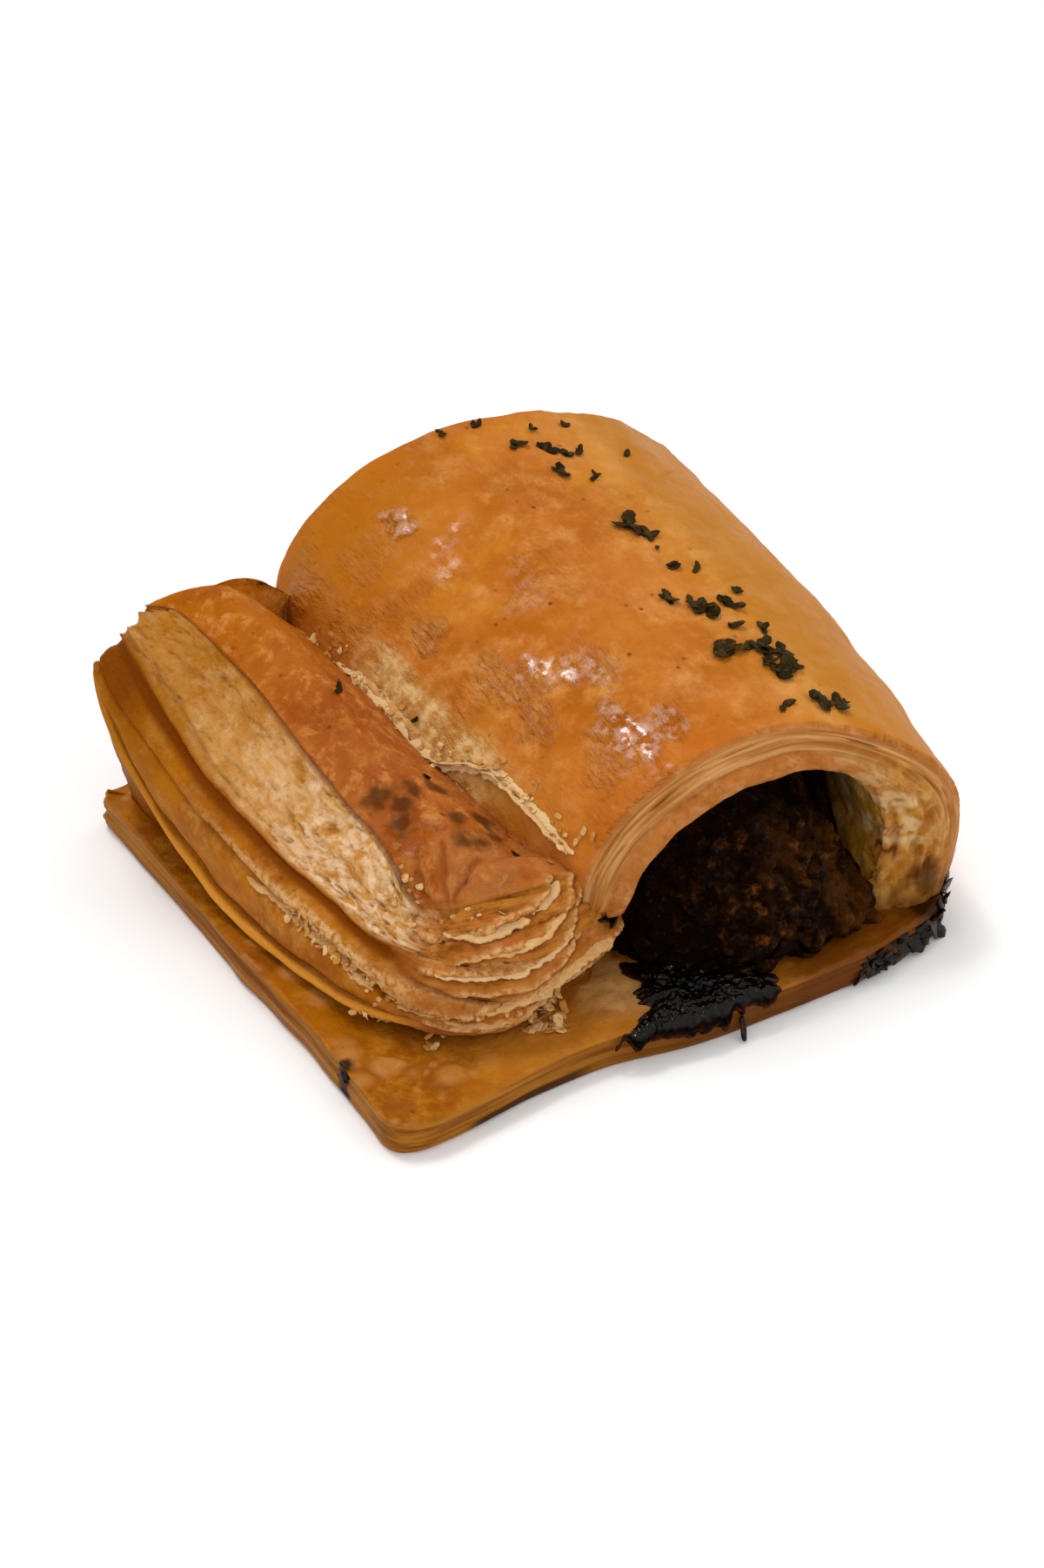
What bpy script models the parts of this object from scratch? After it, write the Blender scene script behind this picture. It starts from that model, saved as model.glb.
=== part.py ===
"""A baked sausage roll, cut square at both ends: one sheet of puff pastry under, round and over a log
of minced meat, with the free edge laid down beside it as a flap whose layers have fanned open.

X runs across the roll, Y along it from the front cut (-Y) to the back cut (+Y), Z up.  Shapes are
worked out in millimetres from the middle of the base sheet's underside.  ORIGIN then moves them, so
that the finished roll has its origin under the middle of its whole outline.
"""

from math import cos, hypot, pi, sin

import bmesh
import bpy

MM = 0.001
ORIGIN = (3.75, -1.3)  # middle of the roll's outline, seen from above, from the middle of the base sheet

# The sheet and the cut
SHEET = 5.5  # thickness of the puffed sheet under the meat
SHEET_EDGE = 1.2  # rounding along the edges of the base sheet
SINK = 3.0  # how deep the wrapped parts run into the base sheet
BED = 0.5  # how deep the meat has settled into the base sheet

# The dome over the meat: each value at the front cut, and at the back cut
CREST_X = (17.0, 9.5)
CREST_Z = (39.0, 50.5)
LEFT_HALF = (26.5, 26.5)  # crest to the left shoulder's widest
LEFT_DROP = (20.0, 21.0)
LEFT_SWELL = 3.5  # the left shoulder bulges this much more half-way along
RIGHT_HALF = (33.0, 47.5)  # crest to the right flank's widest
RIGHT_SWELL = 2.2  # so does the right flank
RIGHT_DROP = (22.0, 35.0)
FOOT_X = (46.0, 50.0)
CREST_SWELL = 0.3  # extra height half-way along
FOOT_BULGE = 0.6  # how full the right flank stays on its way down to its foot

# Where the dome ends, front and back
RIM_FRONT = -30.0
RIM_FRONT_RIGHT = -38.0  # the right foot reaches further forward than the crest
FLARE_FROM = 22.0  # X where the rim begins to run forward to that foot
FLARE_WIDTH = 26.0
LEG_BACK = 12.0  # the left foot is drawn back this far from the cut
LEG_FROM = (8.0, 21.0)  # X and Z below which it is drawn back
LEG_WIDTH = (8.0, 12.0)  # over how much of X and Z
RIM_BACK = 42.0
LIP_REACH = 4.5  # the inside of the cut stands this far proud of the skin edge
BACK_LIP = 1.0  # and at the back
WALL = (4.6, 6.5)

# The meat in its tunnel
FIT = 0.35
TUNNEL_FRONT = -34.0  # the tunnel's section is the front cut's from here forward
TUNNEL_REACH = (14.0, 6.0)  # how far the cutting shape runs on past the front and the back cut
MEAT_FRONT = -34.5  # cut end of the meat at its foot
MEAT_BACK = 35.0
MEAT_LEAN = 6.0  # how much further back the cut end stands at its top
BACK_LEAN = 0.4  # part of that lean at the back end
LEAN_SINK = 0.05  # how much of the lean the top of the meat sinks
END_SHRINK = 4.5  # how far the meat has drawn back from the right wall at its ends
TOP_SHRINK = 0.25  # part of that by which it has drawn down from the roof
SHRINK_LENGTH = 22.0
FRONT_BULGE = ((0.93, -3.5), (0.68, -7.0))  # rounded cut ends: size to the log's section, and reach
BACK_BULGE = ((0.80, 3.0),)
BULGE_Z = (12.0, 16.0)  # height of the middle of each bulge

# Facets
ARC_STEPS = 24  # over the crest, from the widest point on one side to the other
FOOT_STEPS = 5  # from there down to each foot
DOME_STATIONS = 25
FLAP_STEPS = 66
MEAT_STEPS = 28
MEAT_STATIONS = 21


def mix(pair, t):
    return pair[0] + (pair[1] - pair[0]) * t


def smooth(t):
    t = min(1.0, max(0.0, t))
    return t * t * (3.0 - 2.0 * t)


def spline(points, count, closed=False):
    """Catmull-Rom curve through the points, sampled evenly by parameter."""
    last = len(points) if closed else len(points) - 1
    curve = []
    for i in range(count):
        u = i * last / (count if closed else count - 1)
        k = min(int(u), last - 1)
        f = u - k
        if closed:
            p = [points[(k + j) % len(points)] for j in (-1, 0, 1, 2)]
        else:
            p = [points[min(max(k + j, 0), len(points) - 1)] for j in (-1, 0, 1, 2)]
        curve.append(tuple(
            0.5 * (2 * b + (c - a) * f + (2 * a - 5 * b + 4 * c - d) * f * f
                   + (3 * b - a - 3 * c + d) * f ** 3)
            for a, b, c, d in zip(*p)))
    return curve


def material(name, colour, roughness):
    mat = bpy.data.materials.new(name)
    mat.use_nodes = True
    shader = mat.node_tree.nodes["Principled BSDF"]
    shader.inputs["Base Color"].default_value = (*colour, 1.0)
    shader.inputs["Roughness"].default_value = roughness
    shader.inputs["Metallic"].default_value = 0.0
    return mat


def loft(name, rings, fans=True):
    """A closed body from rings with equal numbers of points, its two ends closed flat or by fans."""
    bm = bmesh.new()
    rows = [[bm.verts.new(((x - ORIGIN[0]) * MM, (y - ORIGIN[1]) * MM, z * MM)) for x, y, z in ring]
            for ring in rings]
    for low, high in zip(rows, rows[1:]):
        for i in range(len(low)):
            j = (i + 1) % len(low)
            bm.faces.new((low[i], low[j], high[j], high[i]))
    caps = [bm.faces.new(list(reversed(rows[0]))), bm.faces.new(rows[-1])]
    if fans:
        bmesh.ops.poke(bm, faces=caps)
    bmesh.ops.triangulate(bm, faces=bm.faces)
    bmesh.ops.recalc_face_normals(bm, faces=bm.faces)
    mesh = bpy.data.meshes.new(name)
    bm.to_mesh(mesh)
    bm.free()
    return bpy.data.objects.new(name, mesh)


# ---------------------------------------------------------------- the dome over the meat

def dome_section(t, shrink=0.0):
    """The arch at t along the roll (0 front, 1 back), from the right foot over the crest to the left
    foot, drawn in by shrink."""
    top_x = mix(CREST_X, t)
    top_z = mix(CREST_Z, t) + CREST_SWELL * sin(pi * t) - shrink
    left = mix(LEFT_HALF, t) + LEFT_SWELL * sin(pi * t) - shrink
    left_drop = mix(LEFT_DROP, t) - shrink * 0.5
    right = mix(RIGHT_HALF, t) + RIGHT_SWELL * sin(pi * t) - shrink
    right_drop = mix(RIGHT_DROP, t) - shrink * 0.5
    foot = (mix(FOOT_X, t) - shrink, SHEET - SINK)
    wide = (top_x + right, top_z - right_drop)
    points = []
    for i in range(FOOT_STEPS):
        f = i / FOOT_STEPS
        rise = f * f + (f - f * f) * FOOT_BULGE
        points.append((wide[0] + (1 - f) ** 2 * (foot[0] - wide[0]), foot[1] + rise * (wide[1] - foot[1])))
    for i in range(ARC_STEPS + 1):
        a = pi * i / ARC_STEPS
        half, drop = (right, right_drop) if a <= pi / 2 else (left, left_drop)
        points.append((top_x + half * cos(a), top_z - drop + drop * sin(a)))
    end_x, end_z = points[-1]
    for i in range(1, FOOT_STEPS + 1):
        points.append((end_x, end_z + (SHEET - SINK - end_z) * i / FOOT_STEPS))
    return points


def rim_front(x, z):
    """How far forward the skin of the dome reaches at x, z."""
    flare = (RIM_FRONT_RIGHT - RIM_FRONT) * smooth((x - FLARE_FROM) / FLARE_WIDTH)
    left_foot = smooth((LEG_FROM[0] - x) / LEG_WIDTH[0]) * smooth((LEG_FROM[1] - z) / LEG_WIDTH[1])
    return RIM_FRONT + flare + LEG_BACK * left_foot


def dome():
    skin = []
    for k in range(DOME_STATIONS):
        t = k / (DOME_STATIONS - 1)
        ring = []
        for x, z in dome_section(t):
            front = rim_front(x, z)
            ring.append((x, front + (RIM_BACK - front) * t, z))
        skin.append(ring)
    lip_front = [(x, rim_front(x, z) - LIP_REACH, z) for x, z in dome_section(0.0, WALL[0])]
    lip_back = [(x, RIM_BACK + BACK_LIP, z) for x, z in dome_section(1.0, WALL[1])]
    return loft("dome", [lip_front] + skin + [lip_back])


# ---------------------------------------------------------------- the tunnel and the meat in it

def tunnel_section(t, inset=0.0):
    """Closed outline of the tunnel: the inside of the arch, with the base sheet as its floor."""
    arch = dome_section(t, mix(WALL, t) + inset)
    floor = SHEET - BED + inset
    outline = []
    for (ax, az), (bx, bz) in zip(arch, arch[1:]):
        if (az - floor) * (bz - floor) < 0.0:
            outline.append((ax + (bx - ax) * (floor - az) / (bz - az), floor))
        if bz > floor:
            outline.append((bx, bz))
    return resample(outline, MEAT_STEPS)


def resample(outline, count):
    """The closed outline again, with its points evenly spaced and its floor corners kept."""
    lengths = [0.0]
    for a, b in zip(outline, outline[1:]):
        lengths.append(lengths[-1] + hypot(b[0] - a[0], b[1] - a[1]))
    points = []
    for i in range(count):
        d = lengths[-1] * i / (count - 1)
        k = max(j for j in range(len(lengths) - 1) if lengths[j] <= d + 1e-9)
        f = (d - lengths[k]) / (lengths[k + 1] - lengths[k])
        points.append(tuple(a + (b - a) * f for a, b in zip(outline[k], outline[k + 1])))
    return points


def tunnel():
    rings = []
    for k in range(-1, MEAT_STATIONS + 1):
        t = k / (MEAT_STATIONS - 1)
        y = mix((TUNNEL_FRONT, RIM_BACK), min(1.0, max(0.0, t)))
        if k < 0:
            y -= TUNNEL_REACH[0]
        if k == MEAT_STATIONS:
            y += TUNNEL_REACH[1]
        rings.append([(x, y, z) for x, z in tunnel_section(min(1.0, max(0.0, t)))])
    return loft("tunnel", rings)


def filling():
    rings = []
    for k in range(MEAT_STATIONS):
        f = k / (MEAT_STATIONS - 1)
        y = MEAT_FRONT + (MEAT_BACK - MEAT_FRONT) * f
        section = tunnel_section((y - TUNNEL_FRONT) / (RIM_BACK - TUNNEL_FRONT), FIT)
        from_end = min(y - MEAT_FRONT, MEAT_BACK - y)
        draw = END_SHRINK * (1.0 - smooth(from_end / SHRINK_LENGTH))
        middle = 0.5 * (section[0][0] + section[-1][0])
        half = section[0][0] - middle
        top = max(p[1] for p in section)
        ring = []
        for x, z in section:
            side = max(0.0, (x - middle) / half)
            lift = (z - SHEET) / (top - SHEET)
            lean = MEAT_LEAN * lift * (1.0 - smooth((y - MEAT_FRONT) / SHRINK_LENGTH))
            lean -= BACK_LEAN * MEAT_LEAN * lift * (1.0 - smooth((MEAT_BACK - y) / SHRINK_LENGTH))
            sink = (TOP_SHRINK * draw + LEAN_SINK * lean) * lift
            ring.append((x - draw * side, y + lean, z - sink))
        rings.append(ring)
    front = [domed_end(rings[0], BULGE_Z[0], *step) for step in reversed(FRONT_BULGE)]
    back = [domed_end(rings[-1], BULGE_Z[1], *step) for step in BACK_BULGE]
    return loft("filling", front + rings + back)


def domed_end(ring, centre_z, size, reach):
    """The ring drawn in towards a middle at centre_z and moved out: the rounded cut end of the meat."""
    centre_x = sum(p[0] for p in ring) / len(ring)
    return [(centre_x + (x - centre_x) * size, y + reach, centre_z + (z - centre_z) * size)
            for x, y, z in ring]


# ---------------------------------------------------------------- the flap laid down beside the meat

# Plan of the outermost layer, from inside the dome round the back, the left side and the front corner
FLAP_PLAN = [(-9, 38), (-26, 41.2), (-41, 42), (-49.2, 38.5), (-47.6, 24), (-45.6, 8), (-43.5, -8),
             (-40, -22), (-32, -31.5), (-21.5, -35.8), (-11, -33), (-2.5, -28), (-2, -8), (-6, 18)]

# Layer edges and the grooves between them, bottom to top: how far each stands in from the outermost
# layer, and its height, each at the back end, half-way along and round the front corner
LEAVES = [
    ((5.0, 4.0, 3.5), (3.0, 3.0, 3.0)),
    ((4.6, 3.4, 3.0), (15.0, 6.2, 6.6)),
    ((0.8, 0.0, 0.4), (26.5, 6.8, 7.6)),
    ((0.0, 0.4, 0.0), (30.0, 9.0, 10.0)),
    ((2.6, 3.2, 2.6), (31.0, 10.6, 11.6)),
    ((1.4, 1.8, 1.2), (32.5, 12.6, 13.6)),
    ((1.8, 2.2, 1.6), (35.0, 15.6, 16.0)),
    ((4.2, 5.8, 4.2), (36.0, 17.4, 17.6)),
    ((3.6, 5.8, 3.8), (37.0, 19.6, 19.6)),
    ((6.0, 12.0, 7.0), (41.5, 31.5, 25.5)),
]
FLAP_MIDDLE = 5.0  # Y of the half-way values
FLAP_REACH = (32.0, 36.0)  # from there to the front and to the back values
CUT_STEPS = 0.9  # the front cut is this much less stepped than the side
CUT_FACING = (0.6, 0.4)  # how square to the front a face is when that begins, and over how much more
RIDGE_X = (-21.0, -31.0)
RIDGE_Z = (29.0, 33.5, 42.6)
RIDGE_ENDS = (-25.0, 36.0)
CORNER_X = 40.0  # past this the raised back corner of the flap rounds off
CORNER_ROUND = 9.0
CORNER_DROP = 9.5
LAYER_PINCH = 1.1  # the layers lie this close where they are pinched together at that corner
VALLEY_X = (-8.0, -15.5)
VALLEY_Z = (22.5, 24.0, 27.0)
VALLEY_SLOPE = 14.0  # width over which the flap rises out of the valley
TOP_STEPS = (0.28, 0.58, 0.86)  # rings of the skin, from the topmost layer's edge to the ridge


def along(values, y):
    """A value given at the front, half-way and at the back, eased to y."""
    front, middle, back = values
    if y > FLAP_MIDDLE:
        return middle + (back - middle) * smooth((y - FLAP_MIDDLE) / FLAP_REACH[1])
    return middle + (front - middle) * smooth((FLAP_MIDDLE - y) / FLAP_REACH[0])


def inward(plan, i):
    """Unit step from point i of the plan towards the inside of the loop."""
    ax, ay = plan[i - 1]
    bx, by = plan[(i + 1) % len(plan)]
    length = hypot(bx - ax, by - ay)
    return -(by - ay) / length, (bx - ax) / length


def flap():
    plan = spline(FLAP_PLAN, FLAP_STEPS, closed=True)
    rings = []
    for n, (insets, heights) in enumerate(LEAVES):
        ring = []
        for i, (x, y) in enumerate(plan):
            nx, ny = inward(plan, i)
            open_side = smooth((mix(VALLEY_X, (y - RIM_FRONT) / (RIM_BACK - RIM_FRONT)) - x) / VALLEY_SLOPE)
            cut_end = 1.0 - CUT_STEPS * smooth((-ny - CUT_FACING[0]) / CUT_FACING[1])
            step = along(insets[::-1], y) * open_side * cut_end
            hidden = SHEET - SINK + (along(VALLEY_Z, y) - SHEET + SINK) * n / (len(LEAVES) - 1)
            z = hidden + (along(heights[::-1], y) - hidden) * open_side
            past = max(0.0, -CORNER_X - x) / CORNER_ROUND
            z = min(z, RIDGE_Z[2] - CORNER_DROP * past * past - LAYER_PINCH * (len(LEAVES) - 1 - n))
            ring.append((x + nx * step, y + ny * step, z))
        rings.append(ring)
    edge = rings[-1]
    for f in TOP_STEPS:
        ring = []
        for x, y, z in edge:
            ridge_y = min(RIDGE_ENDS[1], max(RIDGE_ENDS[0], y))
            ridge_x = mix(RIDGE_X, (ridge_y - RIM_FRONT) / (RIM_BACK - RIM_FRONT))
            rise = along(RIDGE_Z, ridge_y) - z
            ring.append((x + (ridge_x - x) * f, y + (ridge_y - y) * f, z + rise * sin(pi / 2 * f)))
        rings.append(ring)
    return loft("flap", rings, fans=False)


# ---------------------------------------------------------------- the base sheet

BASE_STEPS = 60
BASE_PLAN = [(-46.5, 40.5), (-46.8, 20), (-46.6, -10), (-46.2, -41.5), (-38, -44.5), (-25, -42.8),
             (-10, -43), (8, -45.5), (24, -44.5), (44, -41), (47, -30), (47.5, 0), (49, 30),
             (48, 41), (20, 42.5), (-20, 42)]


def base_sheet():
    plan = spline(BASE_PLAN, BASE_STEPS, closed=True)
    rings = []
    for z, inset in ((0.0, SHEET_EDGE), (SHEET_EDGE, 0.0), (SHEET - SHEET_EDGE, 0.0), (SHEET, SHEET_EDGE)):
        ring = []
        for i, (x, y) in enumerate(plan):
            nx, ny = inward(plan, i)
            ring.append((x + nx * inset, y + ny * inset, z))
        rings.append(ring)
    return loft("base", rings)


def join(body, other, operation):
    modifier = body.modifiers.new(other.name, "BOOLEAN")
    modifier.operation = operation
    modifier.solver = "EXACT"
    modifier.object = other
    other.hide_render = True
    other.display_type = "WIRE"


def main():
    for ob in list(bpy.data.objects):
        bpy.data.objects.remove(ob, do_unlink=True)
    parts = bpy.data.collections.new("sausage_roll")
    cutters = bpy.data.collections.new("cutters")
    bpy.context.scene.collection.children.link(parts)
    bpy.context.scene.collection.children.link(cutters)

    pastry = base_sheet()
    pastry.name = "pastry"
    pastry.data.materials.append(material("baked pastry", (0.55, 0.27, 0.08), 0.45))
    parts.objects.link(pastry)
    for other, operation in ((dome(), "UNION"), (flap(), "UNION"), (tunnel(), "DIFFERENCE")):
        cutters.objects.link(other)
        join(pastry, other, operation)

    meat = filling()
    meat.data.materials.append(material("browned minced meat", (0.07, 0.03, 0.015), 0.6))
    parts.objects.link(meat)


main()
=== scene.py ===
"""A baked sausage roll, cut square at both ends.

Puff pastry is wrapped over a log of minced meat, and its free edge is laid down beside it as a flap
whose layers have fanned open. The work is set out as the roll is put together: the table it stands on,
the base sheet, the meat, the crust over it, the flap and its leaves, then what the oven left on it.
Places are in millimetres from the middle of the base sheet, X across, Y front to back, Z up.
"""
from math import cos, pi, radians, sin

import bpy
import numpy as np
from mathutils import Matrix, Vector


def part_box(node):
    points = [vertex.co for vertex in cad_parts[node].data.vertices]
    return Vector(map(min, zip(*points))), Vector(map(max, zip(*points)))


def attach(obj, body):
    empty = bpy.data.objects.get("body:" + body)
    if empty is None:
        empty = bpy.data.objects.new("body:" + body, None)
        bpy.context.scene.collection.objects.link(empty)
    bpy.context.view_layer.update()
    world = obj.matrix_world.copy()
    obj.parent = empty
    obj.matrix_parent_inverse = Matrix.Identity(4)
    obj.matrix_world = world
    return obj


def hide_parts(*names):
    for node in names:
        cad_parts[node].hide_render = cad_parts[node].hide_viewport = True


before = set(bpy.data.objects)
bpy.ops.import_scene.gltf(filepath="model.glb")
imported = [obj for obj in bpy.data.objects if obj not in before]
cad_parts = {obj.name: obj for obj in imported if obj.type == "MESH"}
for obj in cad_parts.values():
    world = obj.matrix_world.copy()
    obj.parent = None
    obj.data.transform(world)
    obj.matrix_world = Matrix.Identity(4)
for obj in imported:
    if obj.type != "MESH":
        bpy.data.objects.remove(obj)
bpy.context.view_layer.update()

bpy.ops.object.select_all(action="DESELECT")


# ------------------------------------------------------------------------------------------------
# The table, the light and the view. The roll stands on a plain white table under a wide soft window
# high behind it, with paler light from the front and the sides, and is seen from its front left.

MM = 0.001
low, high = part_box("pastry")
SHEET_MIDDLE = np.array([(low.x + high.x) / 2 / MM - 3.75, (low.y + high.y) / 2 / MM + 1.3, 0.0])
VIEW_ROUND = radians(-31.11)
VIEW_ABOVE = radians(38.4)
VIEW_DISTANCE = 0.84563
LOOKED_AT = Vector((0.0073, 0.02015, 0.0))
LENS = 129.86
SUNS = [  # name, direction it shines from, strength, width, colour
    ("high window behind", (-0.05, 0.42, 0.85), 0.98, 30.0, (1.0, 0.985, 0.96)),
    ("bright pane of it", (-0.08, 0.36, 0.90), 0.35, 7.0, (1.0, 0.99, 0.97)),
    ("small lamp in front", (-0.35, -0.55, 0.75), 0.12, 4.0, (1.0, 0.99, 0.97)),
    ("left wall", (-0.80, -0.15, 0.55), 0.36, 80.0, (1.0, 0.99, 0.97)),
    ("front wall", (0.05, -0.85, 0.50), 0.62, 80.0, (1.0, 1.0, 1.0)),
    ("right wall", (0.80, -0.05, 0.55), 0.60, 70.0, (1.0, 0.985, 0.95)),
]

bpy.ops.mesh.primitive_plane_add(size=40.0, location=(0, 0, 0))
table = bpy.context.object
table.name = "table"
white = bpy.data.materials.new("white table")
white.use_nodes = True
white.node_tree.nodes["Principled BSDF"].inputs["Base Color"].default_value = (0.93, 0.93, 0.93, 1)
white.node_tree.nodes["Principled BSDF"].inputs["Roughness"].default_value = 0.9
table.data.materials.append(white)

for name, towards, strength, width, colour in SUNS:
    bpy.ops.object.light_add(type="SUN", location=towards)
    lamp = bpy.context.object
    lamp.name = name
    lamp.rotation_euler = (-Vector(towards)).to_track_quat("-Z", "Y").to_euler()
    lamp.data.energy = strength
    lamp.data.angle = radians(width)
    lamp.data.color = colour

world = bpy.data.worlds.new("soft room")
world.use_nodes = True
world.node_tree.nodes["Background"].inputs["Color"].default_value = (1.0, 1.0, 1.0, 1)
world.node_tree.nodes["Background"].inputs["Strength"].default_value = 0.58
bpy.context.scene.world = world
bpy.context.scene.view_settings.view_transform = "Standard"

backwards = Vector((sin(VIEW_ROUND) * cos(VIEW_ABOVE), -cos(VIEW_ROUND) * cos(VIEW_ABOVE), sin(VIEW_ABOVE)))
bpy.ops.object.camera_add(location=LOOKED_AT + backwards * VIEW_DISTANCE)
camera = bpy.context.object
camera.rotation_euler = (-backwards).to_track_quat("-Z", "Y").to_euler()
camera.data.sensor_fit = "VERTICAL"
camera.data.sensor_height = 36.0
camera.data.lens = LENS
camera.data.clip_start = 0.01
bpy.context.scene.camera = camera


# ------------------------------------------------------------------------------------------------
# The base sheet: one thickness of puff pastry under everything, blistered and glazed on top, with its
# layers showing round the cut edges. It is rolled out as a grid, wrapped round its plan and pinched.

SHEET = 5.5
BASE_PLAN = [(-43, 43.4), (-46.2, 42.6), (-46.9, 39), (-46.8, 20), (-47.0, 0), (-46.4, -18), (-46.9, -34), (-47.2, -41),
             (-44.5, -43.9), (-38, -44.3), (-25, -42.8), (-12, -42.6), (2, -45.2), (18, -45.6), (32, -45.2), (43, -42.4),
             (46.8, -38), (46.4, -24), (47.5, 0), (49, 30), (48.6, 39.5), (45, 42.2), (20, 42.5), (-20, 42.6)]
BASE_AROUND = 800
BASE_CENTRE = (0.0, -2.0)
# Rows from under the sheet, up its cut edge and in over its top: step in, height, share of the way in
BASE_EDGE = [(0.5, 0.0, 0.03), (0.5, 0.0, 0.0), (0.1, 0.35, 0.0), (-0.1, 0.8, 0.0), (0.1, 1.3, 0.0),
             (-0.1, 1.9, 0.0), (0.15, 2.4, 0.0), (0.0, 2.9, 0.0), (0.25, 3.3, 0.0), (0.0, 3.8, 0.0),
             (0.2, 4.2, 0.0), (-0.15, 4.6, 0.0), (-0.2, 5.0, 0.0), (-0.05, 5.35, 0.0), (0.3, 5.5, 0.0)]


def mix(a, b, t):
    return a + (b - a) * t


def smooth(t):
    t = np.clip(t, 0.0, 1.0)
    return t * t * (3.0 - 2.0 * t)


def between(x, start, end):
    """0 before start, 1 past end, eased between them."""
    return smooth((x - start) / (end - start))


def closed_curve(corners, u):
    """The smooth closed outline through the corners, at each u from 0 to 1."""
    c = np.array(corners, float)
    s = (u % 1.0) * len(c)
    k = np.floor(s).astype(int)
    f = (s - k)[:, None]
    a, b, d, e = (c[(k + j) % len(c)] for j in (-1, 0, 1, 2))
    return 0.5 * (2 * b + (d - a) * f + (2 * a - 5 * b + 4 * d - e) * f ** 2 + (3 * b - a - 3 * d + e) * f ** 3)


def inward(corners, u):
    """The level step of 1 mm from the outline towards its inside, at each u."""
    run = closed_curve(corners, u + 0.002) - closed_curve(corners, u - 0.002)
    run /= np.linalg.norm(run, axis=1)[:, None]
    return np.stack([-run[:, 1], run[:, 0]], 1)


def chance(x, y, z, seed):
    """A fixed random number from 0 to 1 for each whole-number place."""
    n = (x * 374761393 + y * 668265263 + z * 1440662683 + seed * 974711) & 0xFFFFFFFF
    n = ((n ^ (n >> 13)) * 1274126177) & 0xFFFFFFFF
    n = ((n ^ (n >> 15)) * 2246822519) & 0xFFFFFFFF
    return ((n ^ (n >> 16)) & 0xFFFFFF) / 16777215.0


def swells(p, size, seed, octaves=2):
    """Random rises and hollows about size mm across, from -1 to 1. size may differ by axis."""
    total, share, weight = 0.0, 1.0, 0.0
    turn = np.array([[0.80, 0.60, 0.0], [-0.51, 0.68, 0.53], [0.32, -0.42, 0.85]])
    q = p / np.array(size, float)
    for octave in range(octaves):
        cell = np.floor(q).astype(np.int64)
        f = q - cell
        f = f * f * f * (f * (f * 6 - 15) + 10)
        value = 0.0
        for dx in (0, 1):
            for dy in (0, 1):
                for dz in (0, 1):
                    w = (np.abs(1 - dx - f[:, 0]) * np.abs(1 - dy - f[:, 1]) * np.abs(1 - dz - f[:, 2]))
                    value = value + w * chance(cell[:, 0] + dx, cell[:, 1] + dy, cell[:, 2] + dz, seed + octave)
        total = total + share * (2 * value - 1)
        weight += share
        share *= 0.5
        q = (q @ turn.T) * 2.03 + 17.3
    return total / weight


def lumps(p, size, seed):
    """Scattered round lumps about size mm apart: nearness to the closest middle (1 there, 0 away from
    it), the gap between the two closest, and the closest one's own random number."""
    q = p / size
    cell = np.floor(q).astype(np.int64)
    first = np.full(len(p), 9.0)
    second = np.full(len(p), 9.0)
    own = np.zeros(len(p))
    for dx in (-1, 0, 1):
        for dy in (-1, 0, 1):
            for dz in (-1, 0, 1):
                c = cell + np.array([dx, dy, dz])
                middle = np.stack([c[:, k] + chance(c[:, 0], c[:, 1], c[:, 2], seed + 11 * k) for k in range(3)], 1)
                d = np.linalg.norm(q - middle, axis=1)
                closer = d < first
                second = np.where(closer, first, np.minimum(second, d))
                own = np.where(closer, chance(c[:, 0], c[:, 1], c[:, 2], seed + 77), own)
                first = np.where(closer, d, first)
    return np.clip(1 - first, 0, 1), second - first, own


def rolled_out(name, around, rows):
    """A flat grid of dough, and each point's share of the way around it and row number."""
    bpy.ops.object.select_all(action="DESELECT")
    bpy.ops.mesh.primitive_grid_add(x_subdivisions=around, y_subdivisions=rows - 1, size=1.0, calc_uvs=False)
    piece = bpy.context.object
    piece.name = name
    flat = np.empty(len(piece.data.vertices) * 3, np.float32)
    piece.data.vertices.foreach_get("co", flat)
    flat = flat.reshape(-1, 3).astype(float) + 0.5
    return piece, flat[:, 0], np.rint(flat[:, 1] * (rows - 1)).astype(int)


def note(piece, name, values):
    """Keeps a number, or three, for each point of the piece, for its finish to read."""
    kind = "FLOAT_VECTOR" if np.ndim(values) == 2 else "FLOAT"
    layer = piece.data.attributes.get(name) or piece.data.attributes.new(name, kind, "POINT")
    layer.data.foreach_set("vector" if np.ndim(values) == 2 else "value", np.ascontiguousarray(values, np.float32).ravel())


def noted(piece, name):
    layer = piece.data.attributes[name]
    wide = layer.data_type == "FLOAT_VECTOR"
    values = np.empty(len(piece.data.vertices) * (3 if wide else 1), np.float32)
    layer.data.foreach_get("vector" if wide else "value", values)
    return values.reshape(-1, 3).astype(float) if wide else values.astype(float)


def mould(piece, points, **notes):
    """Lays the grid's points in place, welds its seams, closes its ends and faces it outwards."""
    piece.data.vertices.foreach_set("co", ((points + SHEET_MIDDLE) * MM).astype(np.float32).ravel())
    for name, values in notes.items():
        note(piece, name, values)
    bpy.context.view_layer.objects.active = piece
    bpy.ops.object.mode_set(mode="EDIT")
    bpy.ops.mesh.select_all(action="SELECT")
    bpy.ops.mesh.remove_doubles(threshold=2e-6)
    bpy.ops.mesh.fill_holes(sides=0)
    bpy.ops.mesh.select_all(action="SELECT")
    bpy.ops.mesh.normals_make_consistent(inside=False)
    bpy.ops.object.mode_set(mode="OBJECT")
    bpy.ops.object.shade_smooth()


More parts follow.
